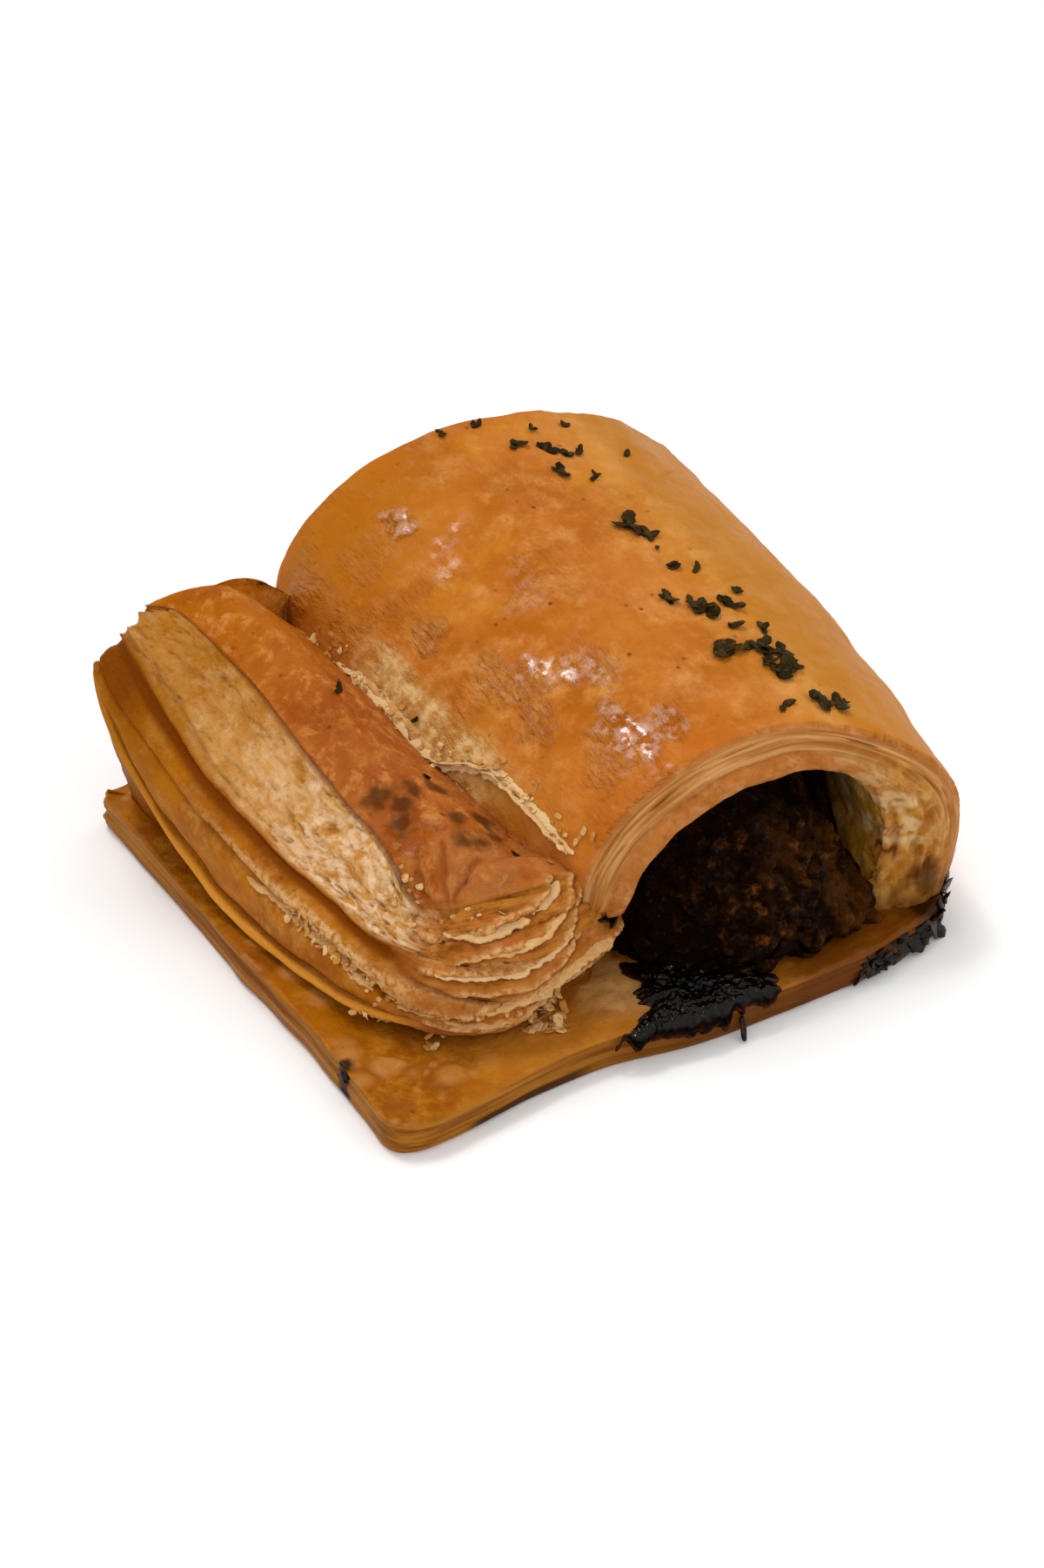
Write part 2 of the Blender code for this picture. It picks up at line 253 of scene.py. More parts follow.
def surface(piece):
    """Where each point of the piece is, in sheet millimetres, and which way it faces."""
    co = np.empty(len(piece.data.vertices) * 3, np.float32)
    piece.data.vertices.foreach_get("co", co)
    facing = np.empty(len(co), np.float32)
    piece.data.vertex_normals.foreach_get("vector", facing)
    return co.reshape(-1, 3).astype(float) / MM - SHEET_MIDDLE, facing.reshape(-1, 3).astype(float)


def raise_by(piece, heights):
    """Moves each point out along its facing by its height in mm."""
    points, facing = surface(piece)
    points = points + facing * heights[:, None]
    points[:, 2] = np.maximum(points[:, 2], 0.0)
    piece.data.vertices.foreach_set("co", ((points + SHEET_MIDDLE) * MM).astype(np.float32).ravel())
    piece.data.update()


def node(tree, kind, links=None, **settings):
    """A shader node with its settings, and its sockets set to values or joined to other sockets."""
    made = tree.nodes.new(kind)
    for key, value in settings.items():
        setattr(made, key, value)
    for socket, value in (links or {}).items():
        if isinstance(value, bpy.types.NodeSocket):
            tree.links.new(value, made.inputs[socket])
        else:
            made.inputs[socket].default_value = value
    return made


def tint(tree, factor, a, b, blend="MIX"):
    """Colour a turned towards colour b by factor."""
    a, b = ((*c, 1.0) if isinstance(c, tuple) and len(c) == 3 else c for c in (a, b))
    made = node(tree, "ShaderNodeMix", {0: factor, 6: a, 7: b}, data_type="RGBA", blend_type=blend)
    return made.outputs[2]


def sums(tree, operation, a, b=0.0, c=0.0):
    return node(tree, "ShaderNodeMath", {0: a, 1: b, 2: c}, operation=operation).outputs[0]


def fade(tree, value, start, end):
    """0 where value is at start, 1 where it is at end, eased between."""
    return node(tree, "ShaderNodeMapRange", {0: value, 1: start, 2: end}, interpolation_type="SMOOTHSTEP").outputs[0]


def mark(tree, name):
    """What was noted on the piece under that name."""
    return node(tree, "ShaderNodeAttribute", attribute_name=name).outputs["Fac"]


def group(name, takes, gives):
    """An empty shader group with named inputs and outputs: the group, its input node, its output node."""
    made = bpy.data.node_groups.new(name, "ShaderNodeTree")
    for title, kind, value in takes:
        socket = made.interface.new_socket(title, in_out="INPUT", socket_type="NodeSocket" + kind)
        if value is not None:
            socket.default_value = value
    for title, kind in gives:
        made.interface.new_socket(title, in_out="OUTPUT", socket_type="NodeSocket" + kind)
    return made, made.nodes.new("NodeGroupInput"), made.nodes.new("NodeGroupOutput")


def use(tree, made, links):
    placed = node(tree, "ShaderNodeGroup", node_tree=made)
    for socket, value in links.items():
        if isinstance(value, bpy.types.NodeSocket):
            tree.links.new(value, placed.inputs[socket])
        else:
            placed.inputs[socket].default_value = (*value, 1.0) if isinstance(value, tuple) else value
    return placed


# Uneven browning: three tones of baked dough in patches, with tiny dark specks of flour and fat
browning, taken, given = group(
    "uneven browning",
    [("Place", "Vector", None), ("Patch", "Float", 80.0), ("Deep", "Color", None), ("Middle", "Color", None),
     ("Pale", "Color", None), ("Specks", "Float", 0.5)],
    [("Color", "Color"), ("Patches", "Float")])
broad = node(browning, "ShaderNodeTexNoise", {"Vector": taken.outputs["Place"], "Scale": taken.outputs["Patch"],
                                              "Detail": 6.0, "Roughness": 0.68, "Distortion": 0.1})
finer = node(browning, "ShaderNodeTexNoise", {
    "Vector": taken.outputs["Place"], "Scale": sums(browning, "MULTIPLY", taken.outputs["Patch"], 2.7),
    "Detail": 6.0, "Roughness": 0.72, "Distortion": 0.15})
grit = node(browning, "ShaderNodeTexVoronoi", {"Vector": taken.outputs["Place"], "Scale": 620.0})
own = node(browning, "ShaderNodeSeparateColor", {0: grit.outputs["Color"]})
speck = sums(browning, "MULTIPLY", fade(browning, grit.outputs["Distance"], 0.30, 0.12),
             fade(browning, own.outputs[0], 0.90, 0.94))
tone = tint(browning, fade(browning, broad.outputs["Fac"], 0.36, 0.64), taken.outputs["Deep"], taken.outputs["Middle"])
tone = tint(browning, fade(browning, finer.outputs["Fac"], 0.44, 0.78), tone, taken.outputs["Pale"])
tone = tint(browning, sums(browning, "MULTIPLY", speck, taken.outputs["Specks"]), tone, (0.10, 0.03, 0.006))
browning.links.new(tone, given.inputs["Color"])
browning.links.new(broad.outputs["Fac"], given.inputs["Patches"])

# Layer lines: fine streaks of the cut or torn pastry, along its layers. Lay is where a point is along
# the layers and through them, in metres.
layer_lines, taken, given = group(
    "layer lines", [("Lay", "Vector", None), ("Layer", "Float", 900.0)], [("Lines", "Float"), ("Height", "Float")])
stretch = node(layer_lines, "ShaderNodeMapping", {"Vector": taken.outputs["Lay"], "Scale": (0.035, 1.0, 0.1)},
               vector_type="POINT")
streaks = node(layer_lines, "ShaderNodeTexNoise", {"Vector": stretch.outputs[0], "Scale": taken.outputs["Layer"],
                                                   "Detail": 4.0, "Roughness": 0.65, "Distortion": 0.3})
layer_lines.links.new(fade(layer_lines, streaks.outputs["Fac"], 0.34, 0.66), given.inputs["Lines"])
layer_lines.links.new(streaks.outputs["Fac"], given.inputs["Height"])


def finish(name, roughness, coat=0.0, coat_roughness=0.2, shine=0.2, ior=1.28):
    """A new material: its tree, its shader, and the piece's own millimetre place in it."""
    made = bpy.data.materials.new(name)
    made.use_nodes = True
    tree = made.node_tree
    shader = tree.nodes["Principled BSDF"]
    shader.inputs["Roughness"].default_value = roughness
    shader.inputs["Coat Weight"].default_value = coat
    shader.inputs["Coat Roughness"].default_value = coat_roughness
    shader.inputs["Specular IOR Level"].default_value = shine
    shader.inputs["IOR"].default_value = ior
    shader.inputs["Specular Tint"].default_value = (1.0, 0.62, 0.28, 1)
    place = node(tree, "ShaderNodeTexCoord").outputs["Object"]
    return made, tree, shader, place


def bump(tree, shader, heights, depth):
    """Fine relief, from (height socket, share) pairs; depth is in metres."""
    total = None
    for height, share in heights:
        scaled = sums(tree, "MULTIPLY", height, share)
        total = scaled if total is None else sums(tree, "ADD", total, scaled)
    made = node(tree, "ShaderNodeBump", {"Height": total, "Distance": depth, "Strength": 1.0})
    tree.links.new(made.outputs["Normal"], shader.inputs["Normal"])


def grain(tree, place, size, detail=3.0, roughness=0.6, distortion=0.0):
    return node(tree, "ShaderNodeTexNoise", {"Vector": place, "Scale": 1000.0 / size, "Detail": detail,
                                             "Roughness": roughness, "Distortion": distortion}).outputs["Fac"]


# How far in each row of the top lies: close together over the part that shows, then wide to the middle
top_share = np.concatenate([np.linspace(0.004, 0.42, 52), np.linspace(0.46, 1.0, 8)])
base_rows = [(0.5, 0.0, 0.6)] + BASE_EDGE + [(0.3, SHEET, share) for share in top_share]
base_rows = np.array([(0.0, 0.0, 1.0)] + base_rows)
base, u, row = rolled_out("base_sheet", BASE_AROUND, len(base_rows))
plan = closed_curve(BASE_PLAN, u)
step = inward(BASE_PLAN, u)
inset, height, share = base_rows[row].T
flat = plan + step * inset[:, None]
flat = mix(flat, np.array(BASE_CENTRE), share[:, None])
through = np.where(row < len(BASE_EDGE) + 2, height, SHEET)
mould(base, np.column_stack([flat, height]),
      lay=np.column_stack([u * 370.0, through, share * 60.0]) * MM, edge=1.0 - between(share, 0.0, 0.012))

p, facing = surface(base)
lay = noted(base, "lay") / MM
on_top = between(p[:, 2], 5.2, 5.45)
on_side = between(p[:, 2], 0.15, 0.8) * (1 - on_top)
blister, gap, own = lumps(p * [1, 1, 0.3], 5.2, 3)
puffed = smooth((own - 0.52) / 0.2) * between(blister, 0.42, 0.80)
small, gap2, own2 = lumps(p * [1, 1, 0.3], 2.2, 9)
beads = smooth((own2 - 0.72) / 0.1) * between(small, 0.5, 0.85)
ripples = swells(p, 3.0, 5, 3)
heave = swells(p, 16.0, 7, 1)
layers = swells(np.column_stack([lay[:, 0], lay[:, 1], lay[:, 0] * 0]), (24.0, 0.9, 9.0), 12, 2)
lift = on_top * (0.30 * puffed + 0.14 * beads + 0.26 * ripples + 0.35 * heave)
lift = lift + on_side * (0.42 * layers + 0.25 * swells(p, 6.0, 15, 1))
raise_by(base, lift)
note(base, "blister", puffed * on_top)
note(base, "bead", beads * on_top)
note(base, "side", on_side)
p, facing = surface(base)
note(base, "front", on_top * between(p[:, 1] + 0.25 * p[:, 0], -27.0, -40.0) * between(p[:, 0], 24.0, 12.0)
     * between(p[:, 0], -40.0, -22.0))
burnt_corner = between(np.hypot(p[:, 0] - 45, p[:, 1] + 39) + 3.0 * swells(p, 3.0, 16, 2), 9.0, 4.0)
burnt_front = between(p[:, 1] + 1.5 * swells(p, 2.5, 17, 2), -43.0, -44.8) * between(p[:, 0], 26.0, 33.0) * between(
    p[:, 2], 4.6, 2.5)
# Painted shadow: the lowest 1 to 2 mm of the front left edge is darkened as the gap under the sheet. It joins the burn
# mark with the real burnt corner, front edge and specks.
under_corner_shadow = between(p[:, 2], 2.2, 1.2) * between(p[:, 0], -37.0, -33.0) * between(p[:, 0], -12.0, -18.0) * between(
    p[:, 1], -30.0, -38.0)
left_speck = between(np.hypot(p[:, 0] + 46.6, p[:, 1] + 28.5) + 0.8 * swells(p, 1.0, 18, 2), 1.9, 1.0)
note(base, "burn_and_shadow", np.clip(burnt_corner + burnt_front + 0.9 * under_corner_shadow + left_speck, 0, 1))
# Painted shade down the front edge from under the nose towards the juice, darker towards the bottom, and a real juice
# stain on the top between the meat and the front edge.
note(base, "juice_stain_and_shade", between(p[:, 0] + 3 * swells(p, 4.0, 19, 2), -22.0, 4.0) * between(p[:, 1], -30.0, -43.0)
     * between(p[:, 2], 5.4, 3.0) + 0.8 * between(p[:, 0] + 3 * swells(p, 4.0, 17, 2), 16.0, 24.0)
     * between(p[:, 1], -36.0, -41.0))
note(base, "greasy", between(p[:, 0] + 3 * swells(p, 4.0, 10, 2), 14.0, 24.0) * between(p[:, 1], -22.0, -32.0))
note(base, "sheer", between(np.hypot((p[:, 0] + 3.5) * 0.8, p[:, 1] + 34.5) + 2.0 * swells(p, 4.0, 20, 2), 8.0, 3.0))

base_finish, tree, shader, place = finish("glazed base sheet", 0.36, 0.10, 0.22)
brown = use(tree, browning, {"Place": place, "Patch": 95.0, "Deep": (0.24, 0.060, 0.001), "Middle": (0.35, 0.105, 0.001),
                             "Pale": (0.46, 0.175, 0.010), "Specks": 0.6})
lines = use(tree, layer_lines, {"Lay": node(tree, "ShaderNodeAttribute", attribute_name="lay").outputs["Vector"],
                                "Layer": 1100.0})
cut = tint(tree, lines.outputs["Lines"], (0.20, 0.055, 0.001), (0.38, 0.145, 0.010))
colour = tint(tree, mark(tree, "side"), brown.outputs["Color"], cut)
pinkish = tint(tree, grain(tree, place, 1.2, 4.0), (0.40, 0.14, 0.01), (0.52, 0.24, 0.07))
colour = tint(tree, sums(tree, "MULTIPLY", mark(tree, "blister"), 0.7), colour, pinkish)
colour = tint(tree, sums(tree, "MULTIPLY", mark(tree, "bead"), 0.45), colour, (0.54, 0.25, 0.07))
colour = tint(tree, sums(tree, "MULTIPLY", mark(tree, "front"), 0.7), colour, tint(
    tree, grain(tree, place, 3.0, 5.0), (0.32, 0.090, 0.003), (0.54, 0.22, 0.03)))
colour = tint(tree, sums(tree, "MULTIPLY", mark(tree, "sheer"), 0.8), colour, tint(
    tree, grain(tree, place, 2.0, 4.0), (0.38, 0.14, 0.02), (0.72, 0.42, 0.16)))
# Painted shade down the front edge, and the juice stain on top.
colour = tint(tree, sums(tree, "MULTIPLY", mark(tree, "juice_stain_and_shade"), 0.8), colour, (0.10, 0.026, 0.002))
colour = tint(tree, sums(tree, "MULTIPLY", mark(tree, "greasy"), 0.6), colour, (0.15, 0.040, 0.002))
# Real burns, and the painted shadow under the front left edge.
colour = tint(tree, mark(tree, "burn_and_shadow"), colour, (0.030, 0.008, 0.001))
tree.links.new(colour, shader.inputs["Base Color"])
rough = node(tree, "ShaderNodeMapRange", {0: grain(tree, place, 5.0), 1: 0.3, 2: 0.7, 3: 0.26, 4: 0.52})
tree.links.new(rough.outputs[0], shader.inputs["Roughness"])
bump(tree, shader, [(grain(tree, place, 1.1, 5.0), 0.6), (grain(tree, place, 0.35, 2.0), 0.2),
                    (lines.outputs["Height"], 0.5)], 0.00035)
base.data.materials.append(base_finish)
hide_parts("pastry")
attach(base, "root")


# ------------------------------------------------------------------------------------------------
# The crust over the meat: the same sheet bent over in an arch, glazed and browned outside, with its
# layers opened along the cut rims front and back and a smooth rolled lip inside them.

CREST_X = (17.0, 9.5)  # each pair: at the front cut, at the back cut
CREST_Z = (39.0, 50.5)
CREST_SWELL = 0.3
LEFT_HALF = (26.5, 26.5)
LEFT_DROP = (20.0, 21.0)
LEFT_SWELL = 3.5
RIGHT_HALF = (33.0, 47.5)
RIGHT_DROP = (22.0, 35.0)
RIGHT_SWELL = 2.2
FOOT_X = (46.0, 50.0)
FOOT_Z = 2.5
RIM_BACK = 42.0
LEG_BACK = 12.0
LOW = 0.15  # share of the way round the arch that each foot takes
FOOT_THICK = 1.45  # the wall is this much thicker at its right foot in front
CRUST_AROUND = 330
GLOSSY = [(-5.3, -0.9, 4), (-2.0, -5.1, 4), (-3.4, -9.8, 3.5), (3.3, -7.1, 3.5), (6.8, -9.6, 4), (3.3, -17.7, 3.5),
          (3.0, -22.6, 4.5), (5.6, -23.1, 4), (10.1, -22.8, 3), (0.0, -23.1, 4), (-8.0, 12.0, 3), (-3.0, 30.0, 3)]
SKIN_ROWS = 196
# Through the front rim from the skin to the inner wall: share, step in, step forward
FRONT_RIM = [(0.0, 0.0, 0.0), (0.05, 0.25, 0.75), (0.30, 1.3, 1.9), (0.52, 2.6, 3.0), (0.58, 3.0, 3.1),
             (0.64, 3.3, 3.9), (0.74, 3.9, 4.7), (0.84, 4.8, 4.9), (0.93, 5.6, 4.2), (1.0, 5.8, 2.8)]
# The same at the right, where the cut is a broad flat face with no lip: share, step forward
FLAT_RIM = [(0.0, 0.0), (0.05, 0.75), (0.30, 1.9), (0.52, 2.6), (0.70, 2.7), (0.85, 2.3), (1.0, 1.4)]
BACK_RIM = [(0.0, 0.0, 0.0), (0.08, 0.5, 0.8), (0.5, 3.0, 1.2), (0.85, 5.8, 1.1), (1.0, 6.6, 0.3)]


def pair(values, t):
    return values[0] + (values[1] - values[0]) * t


def arch(t, a, inset):
    """Across and height of the arch of dough at t along the roll and a round it (0 right foot,
    1 left foot), inset mm into its wall."""
    top_x = pair(CREST_X, t)
    top_z = pair(CREST_Z, t) + CREST_SWELL * np.sin(pi * t) - inset
    left = pair(LEFT_HALF, t) + LEFT_SWELL * np.sin(pi * t) - inset
    right = pair(RIGHT_HALF, t) + RIGHT_SWELL * np.sin(pi * t) - inset
    left_drop = pair(LEFT_DROP, t) - inset * 0.5
    right_drop = pair(RIGHT_DROP, t) - inset * 0.5
    angle = pi * np.clip((a - LOW) / (1 - 2 * LOW), 0.0, 1.0)
    on_right = angle <= pi / 2
    half = np.where(on_right, right, left)
    drop = np.where(on_right, right_drop, left_drop)
    x = top_x + half * np.cos(angle)
    z = top_z - drop + drop * np.sin(angle)
    f = np.clip(a / LOW, 0.0, 1.0)
    foot_x = pair(FOOT_X, t) - inset
    wide_z = top_z - right_drop
    low_x = (1 - f) ** 2 * foot_x + (1 - (1 - f) ** 2) * (top_x + right)
    low_z = (1 - f * f) * FOOT_Z + f * f * wide_z + (f - f * f) * 0.6 * (wide_z - FOOT_Z)
    x = np.where(a < LOW, low_x, x)
    z = np.where(a < LOW, low_z, z)
    g = np.clip((a - 1 + LOW) / LOW, 0.0, 1.0)
    z = np.where(a > 1 - LOW, mix(z, FOOT_Z, g), z)
    return x, z


def rim_front(x, z):
    """How far forward the crust reaches: furthest at the right foot, drawn back under the lip's left end."""
    return mix(-30.0, -38.0, between(x, 22.0, 48.0)) + LEG_BACK * between(z, 21.0, 9.0) * between(x, 8.0, -3.0)


# Even steps round the arch, wider apart down the left foot, where the flap hides it
rough_round = np.linspace(0.0, 1.0, 800)
path = np.column_stack(arch(0.4, rough_round, 0.0))
weight = np.where(rough_round[1:] > 1 - LOW * 0.55, 0.25, 1.0)
steps = np.linalg.norm(np.diff(path, axis=0), axis=1) * weight
even = np.concatenate([[0.0], np.cumsum(steps)]) / steps.sum()

front_share = np.linspace(0.0, 1.0, 46)
back_share = np.linspace(0.0, 1.0, 22)
inner_y = np.concatenate([np.linspace(38.0, -18.0, 8), np.linspace(-20.0, -31.0, 16)])
crust_rows = SKIN_ROWS + 20 + len(inner_y) + 46
crust, u, row = rolled_out("crust", CRUST_AROUND, crust_rows)
a = np.interp(u, even, rough_round)
skin = row < SKIN_ROWS
back = (row >= SKIN_ROWS) & (row < SKIN_ROWS + 20)
inner = (row >= SKIN_ROWS + 20) & (row < SKIN_ROWS + 20 + len(inner_y))
rim = row >= SKIN_ROWS + 20 + len(inner_y)
t = np.where(skin, row / (SKIN_ROWS - 1), np.where(back, 1.0, 0.0))
k = np.clip(row - SKIN_ROWS - 20, 0, len(inner_y) - 1)
wall_y = inner_y[k]
t = np.where(inner, np.clip((wall_y + 30.0) / (RIM_BACK + 30.0), 0, 1), t)
back_at = np.clip((row - SKIN_ROWS + 1) / 20.0, 0, 1)
rim_at = np.clip((crust_rows - 1 - row) / 45.0, 0, 1)
fb = np.array(BACK_RIM)
ff = np.array(FRONT_RIM)
step_in = np.where(back, np.interp(back_at, fb[:, 0], fb[:, 1]), 0.0)
step_in = np.where(rim, np.interp(rim_at, ff[:, 0], ff[:, 1]), step_in)
foot = FOOT_THICK * between(a, 0.42, 0.08)
step_in = np.where(rim, step_in * (1 + foot), step_in)
step_in = np.where(inner, mix(5.6, 6.6, t) * (1 + foot * between(wall_y, 5.0, -24.0)), step_in)
x, z = arch(t, a, step_in)
front = rim_front(x, z)
y = front + (RIM_BACK - front) * t
y = np.where(back, RIM_BACK + np.interp(back_at, fb[:, 0], fb[:, 2]), y)
flat_rim = np.array(FLAT_RIM)
to_right = between(a, 0.46, 0.24)
forward = mix(np.interp(rim_at, ff[:, 0], ff[:, 2]), np.interp(rim_at, flat_rim[:, 0], flat_rim[:, 1]), to_right)
y = np.where(rim, front - forward - 2.2 * to_right * rim_at * between(z, 9.0, 5.0), y)
y = np.where(inner, wall_y + mix(front + 30.0, 0.0, between(wall_y, -31.0, 0.0)), y)
round_mm = a * 150.0
mould(crust, np.column_stack([x, y, z]),
      lay=np.column_stack([round_mm, np.where(rim, rim_at * 7.5, np.where(back, back_at * 7.0, 3.0)), y * 0]) * MM,
      rim=np.where(rim, rim_at, np.where(skin, 0.0, 0.0)), cut=np.where(rim, 1.0, 0.0), back_cut=np.where(back, 1.0, 0.0),
      inner=np.where(inner, 1.0, 0.0), around=a)

p, facing = surface(crust)
lay = noted(crust, "lay") / MM
rim_at, cut, back_cut, inner, a = (noted(crust, n) for n in ("rim", "cut", "back_cut", "inner", "around"))
skin = (1 - cut) * (1 - back_cut) * (1 - inner)
edge_gap = np.minimum(between(p[:, 1] - rim_front(p[:, 0], p[:, 2]), 0.0, 3.0), between(RIM_BACK - p[:, 1], 0.0, 3.0))
right = between(p[:, 0], 14.0, 34.0)
left = between(p[:, 0], 8.0, -8.0)
slant = np.column_stack([p[:, 0] - 0.25 * p[:, 1], p[:, 1], p[:, 2]])
wrinkles = swells(slant, (2.6, 14.0, 3.4), 21, 2)
dents = swells(p, (7.0, 10.0, 7.0), 23, 2)
lift = skin * (0.42 * swells(p, 19.0, 22, 1) + 0.22 * dents + 0.20 * wrinkles * right + 0.10 * swells(p, 2.2, 25, 2))
puff, _, own = lumps(p * [0.8, 0.6, 0.8], 9.0, 28)
lift += skin * 0.30 * between(puff, 0.35, 0.8) * (own > 0.55)
strata = swells(np.column_stack([lay[:, 0], lay[:, 1], 0 * a]), (17.0, 0.8, 9.0), 31, 2)
to_right = between(a, 0.46, 0.24)
strata_zone = cut * between(rim_at, 0.03, 0.12) * (1 - between(rim_at, 0.50 + 0.40 * to_right, 0.58 + 0.42 * to_right))
back_zone = back_cut * between(lay[:, 1], 0.4, 1.0) * (1 - between(lay[:, 1], 6.2, 6.9))
slits = between(swells(np.column_stack([lay[:, 0], lay[:, 1], 0 * a]), (11.0, 0.55, 9.0), 37, 2), 0.42, 0.75)
lift += strata_zone * (0.50 * strata - 0.55 * slits) + back_zone * (0.50 * strata - 0.5 * slits)
lip = cut * between(rim_at, 0.56, 0.66) * (1 - between(rim_at, 0.93, 1.0)) * (1 - to_right)
lift += lip * (0.30 * swells(p, 6.0, 33, 2) + 0.08 * swells(p, 1.0, 34, 2))
lift += inner * 0.35 * swells(p, (4.0, 5.0, 4.0), 35, 2)
torn = (inner + cut * between(rim_at, 0.15, 0.5)) * to_right
bubbles = between(swells(p, (1.6, 2.0, 2.4), 51, 3), 0.18, 0.5)
lift += torn * (0.40 * swells(p, (1.8, 2.5, 2.8), 52, 3) - 0.55 * bubbles)
lift += 0.35 * swells(np.column_stack([lay[:, 0], 0 * a, 0 * a]), 9.0, 39, 2) * (cut + back_cut)
raise_by(crust, lift)

p, facing = surface(crust)
note(crust, "strata", strata_zone + back_zone)
note(crust, "broad", cut * to_right * between(rim_at, 0.15, 0.5))
# Painted shade in the slits between the cut layers, front and back.
note(crust, "slit_shade", np.clip(slits * (strata_zone + back_zone), 0, 1))
note(crust, "lip", lip)
note(crust, "near_rim", skin * (1 - edge_gap))
valley = between(a, 0.70, 0.83)
middle = between(p[:, 1], -16.0, -4.0) * (1 - between(p[:, 1], 12.0, 24.0))
pool = skin * between(a + 0.014 * swells(p, 4.0, 45, 2), 0.712, 0.745) * (0.06 + 0.94 * middle)
note(crust, "pool", pool)
note(crust, "right", skin * between(p[:, 0], 18.0, 38.0))
glaze = 0.35 * between(swells(p, (9.0, 6.0, 9.0), 43, 2), 0.05, 0.35) * between(p[:, 0], 26.0, 8.0)
for gx, gy, size in GLOSSY:
    away = np.hypot(p[:, 0] - gx, (p[:, 1] - gy) * 0.8) + 1.6 * swells(p, 2.4, 46, 2)
    glaze = np.maximum(glaze, between(away, size, size * 0.4) * skin)
note(crust, "glaze", skin * glaze)
scorch = between(np.linalg.norm((p - [43.5, -39.0, 9.5]) * [1, 0.4, 1], axis=1) + 1.5 * swells(p, 1.8, 47, 2), 4.6, 1.8)
scorch = np.maximum(scorch, 0.8 * (cut + inner) * between(p[:, 2] + 2.5 * swells(p, 3.0, 48, 2), 11.5, 6.0)
                    * between(p[:, 0], 26.0, 36.0))
from_crack = np.hypot(p[:, 1] + 36.2, p[:, 2] - 13.2)
crack = between(np.abs(from_crack - 1.9 + 0.5 * swells(p, 1.0, 49, 2)), 0.45, 0.1) * between(p[:, 1] + p[:, 2], -25.5, -23.0)
note(crust, "scorch", np.clip(np.maximum(scorch, crack * (cut + inner) * (p[:, 0] > 30)), 0, 1))
note(crust, "fibre", (inner + 0.8 * cut * to_right * between(rim_at, 0.35, 0.7))
     * between(swells(p * [1, 0.6, 1.3], 2.4, 50, 3), -0.15, 0.35) * between(p[:, 2], 12.0, 17.0))
# Painted shade in the bubble holes of the torn inner wall and the broad cut face at the right.
note(crust, "bubble_shade", bubbles * torn)
flank = between(p[:, 1], -14.0, -30.0) * between(p[:, 0], 30.0, 6.0)
note(crust, "bake", skin * flank)
note(crust, "back", skin * between(p[:, 1], 10.0, 40.0) * between(p[:, 0], 16.0, -6.0))

crust_finish, tree, shader, place = finish("golden crust", 0.40, 0.0, 0.12)
brown = use(tree, browning, {"Place": place, "Patch": 62.0, "Deep": (0.38, 0.098, 0.004), "Middle": (0.49, 0.150, 0.018),
                             "Pale": (0.62, 0.265, 0.065), "Specks": 0.8})
tan = use(tree, browning, {"Place": place, "Patch": 80.0, "Deep": (0.46, 0.165, 0.008), "Middle": (0.57, 0.245, 0.040),
                           "Pale": (0.68, 0.37, 0.11), "Specks": 0.3})
lines = use(tree, layer_lines, {"Lay": node(tree, "ShaderNodeAttribute", attribute_name="lay").outputs["Vector"],
                                "Layer": 1250.0})
colour = tint(tree, sums(tree, "MULTIPLY", mark(tree, "right"), 0.85), brown.outputs["Color"], tan.outputs["Color"])
colour = tint(tree, sums(tree, "MULTIPLY", mark(tree, "bake"), 0.55), colour, (0.48, 0.125, 0.012))
yellow = fade(tree, grain(tree, place, 11.0, 4.0, 0.6, 0.3), 0.54, 0.68)
colour = tint(tree, sums(tree, "MULTIPLY", yellow, 0.5), colour, (0.52, 0.20, 0.004))
colour = tint(tree, sums(tree, "MULTIPLY", mark(tree, "back"), 0.85), colour, (0.40, 0.120, 0.002))
colour = tint(tree, sums(tree, "MULTIPLY", fade(tree, mark(tree, "right"), 0.75, 1.0), 0.65), colour, (0.40, 0.14, 0.004))
dough = tint(tree, fade(tree, grain(tree, place, 2.5, 4.0), 0.35, 0.65), (0.46, 0.20, 0.035), (0.72, 0.47, 0.20))
colour = tint(tree, mark(tree, "pool"), colour, dough)
colour = tint(tree, sums(tree, "MULTIPLY", mark(tree, "near_rim"), 0.35), colour, (0.47, 0.13, 0.01))
cut = tint(tree, lines.outputs["Lines"], (0.33, 0.11, 0.016), (0.57, 0.29, 0.10))
rolled = use(tree, browning, {"Place": place, "Patch": 120.0, "Deep": (0.33, 0.100, 0.015), "Middle": (0.42, 0.145, 0.030),
                              "Pale": (0.54, 0.24, 0.08), "Specks": 0.3})
wall = use(tree, browning, {"Place": place, "Patch": 110.0, "Deep": (0.42, 0.15, 0.003), "Middle": (0.60, 0.28, 0.020),
                            "Pale": (0.72, 0.46, 0.14), "Specks": 0.2})
colour = tint(tree, sums(tree, "MAXIMUM", mark(tree, "cut"), mark(tree, "back_cut")), colour, rolled.outputs["Color"])
ochre = tint(tree, fade(tree, grain(tree, place, 3.0, 4.0), 0.40, 0.62), (0.34, 0.115, 0.005), (0.55, 0.28, 0.045))
cut = tint(tree, sums(tree, "MULTIPLY", mark(tree, "broad"), 0.65), cut, ochre)
colour = tint(tree, mark(tree, "strata"), colour, cut)
# Painted shade in the slits.
colour = tint(tree, sums(tree, "MULTIPLY", mark(tree, "slit_shade"), 0.6), colour, (0.28, 0.085, 0.009))
colour = tint(tree, mark(tree, "inner"), colour, wall.outputs["Color"])
colour = tint(tree, sums(tree, "MULTIPLY", mark(tree, "fibre"), 0.75), colour, (0.74, 0.53, 0.27))
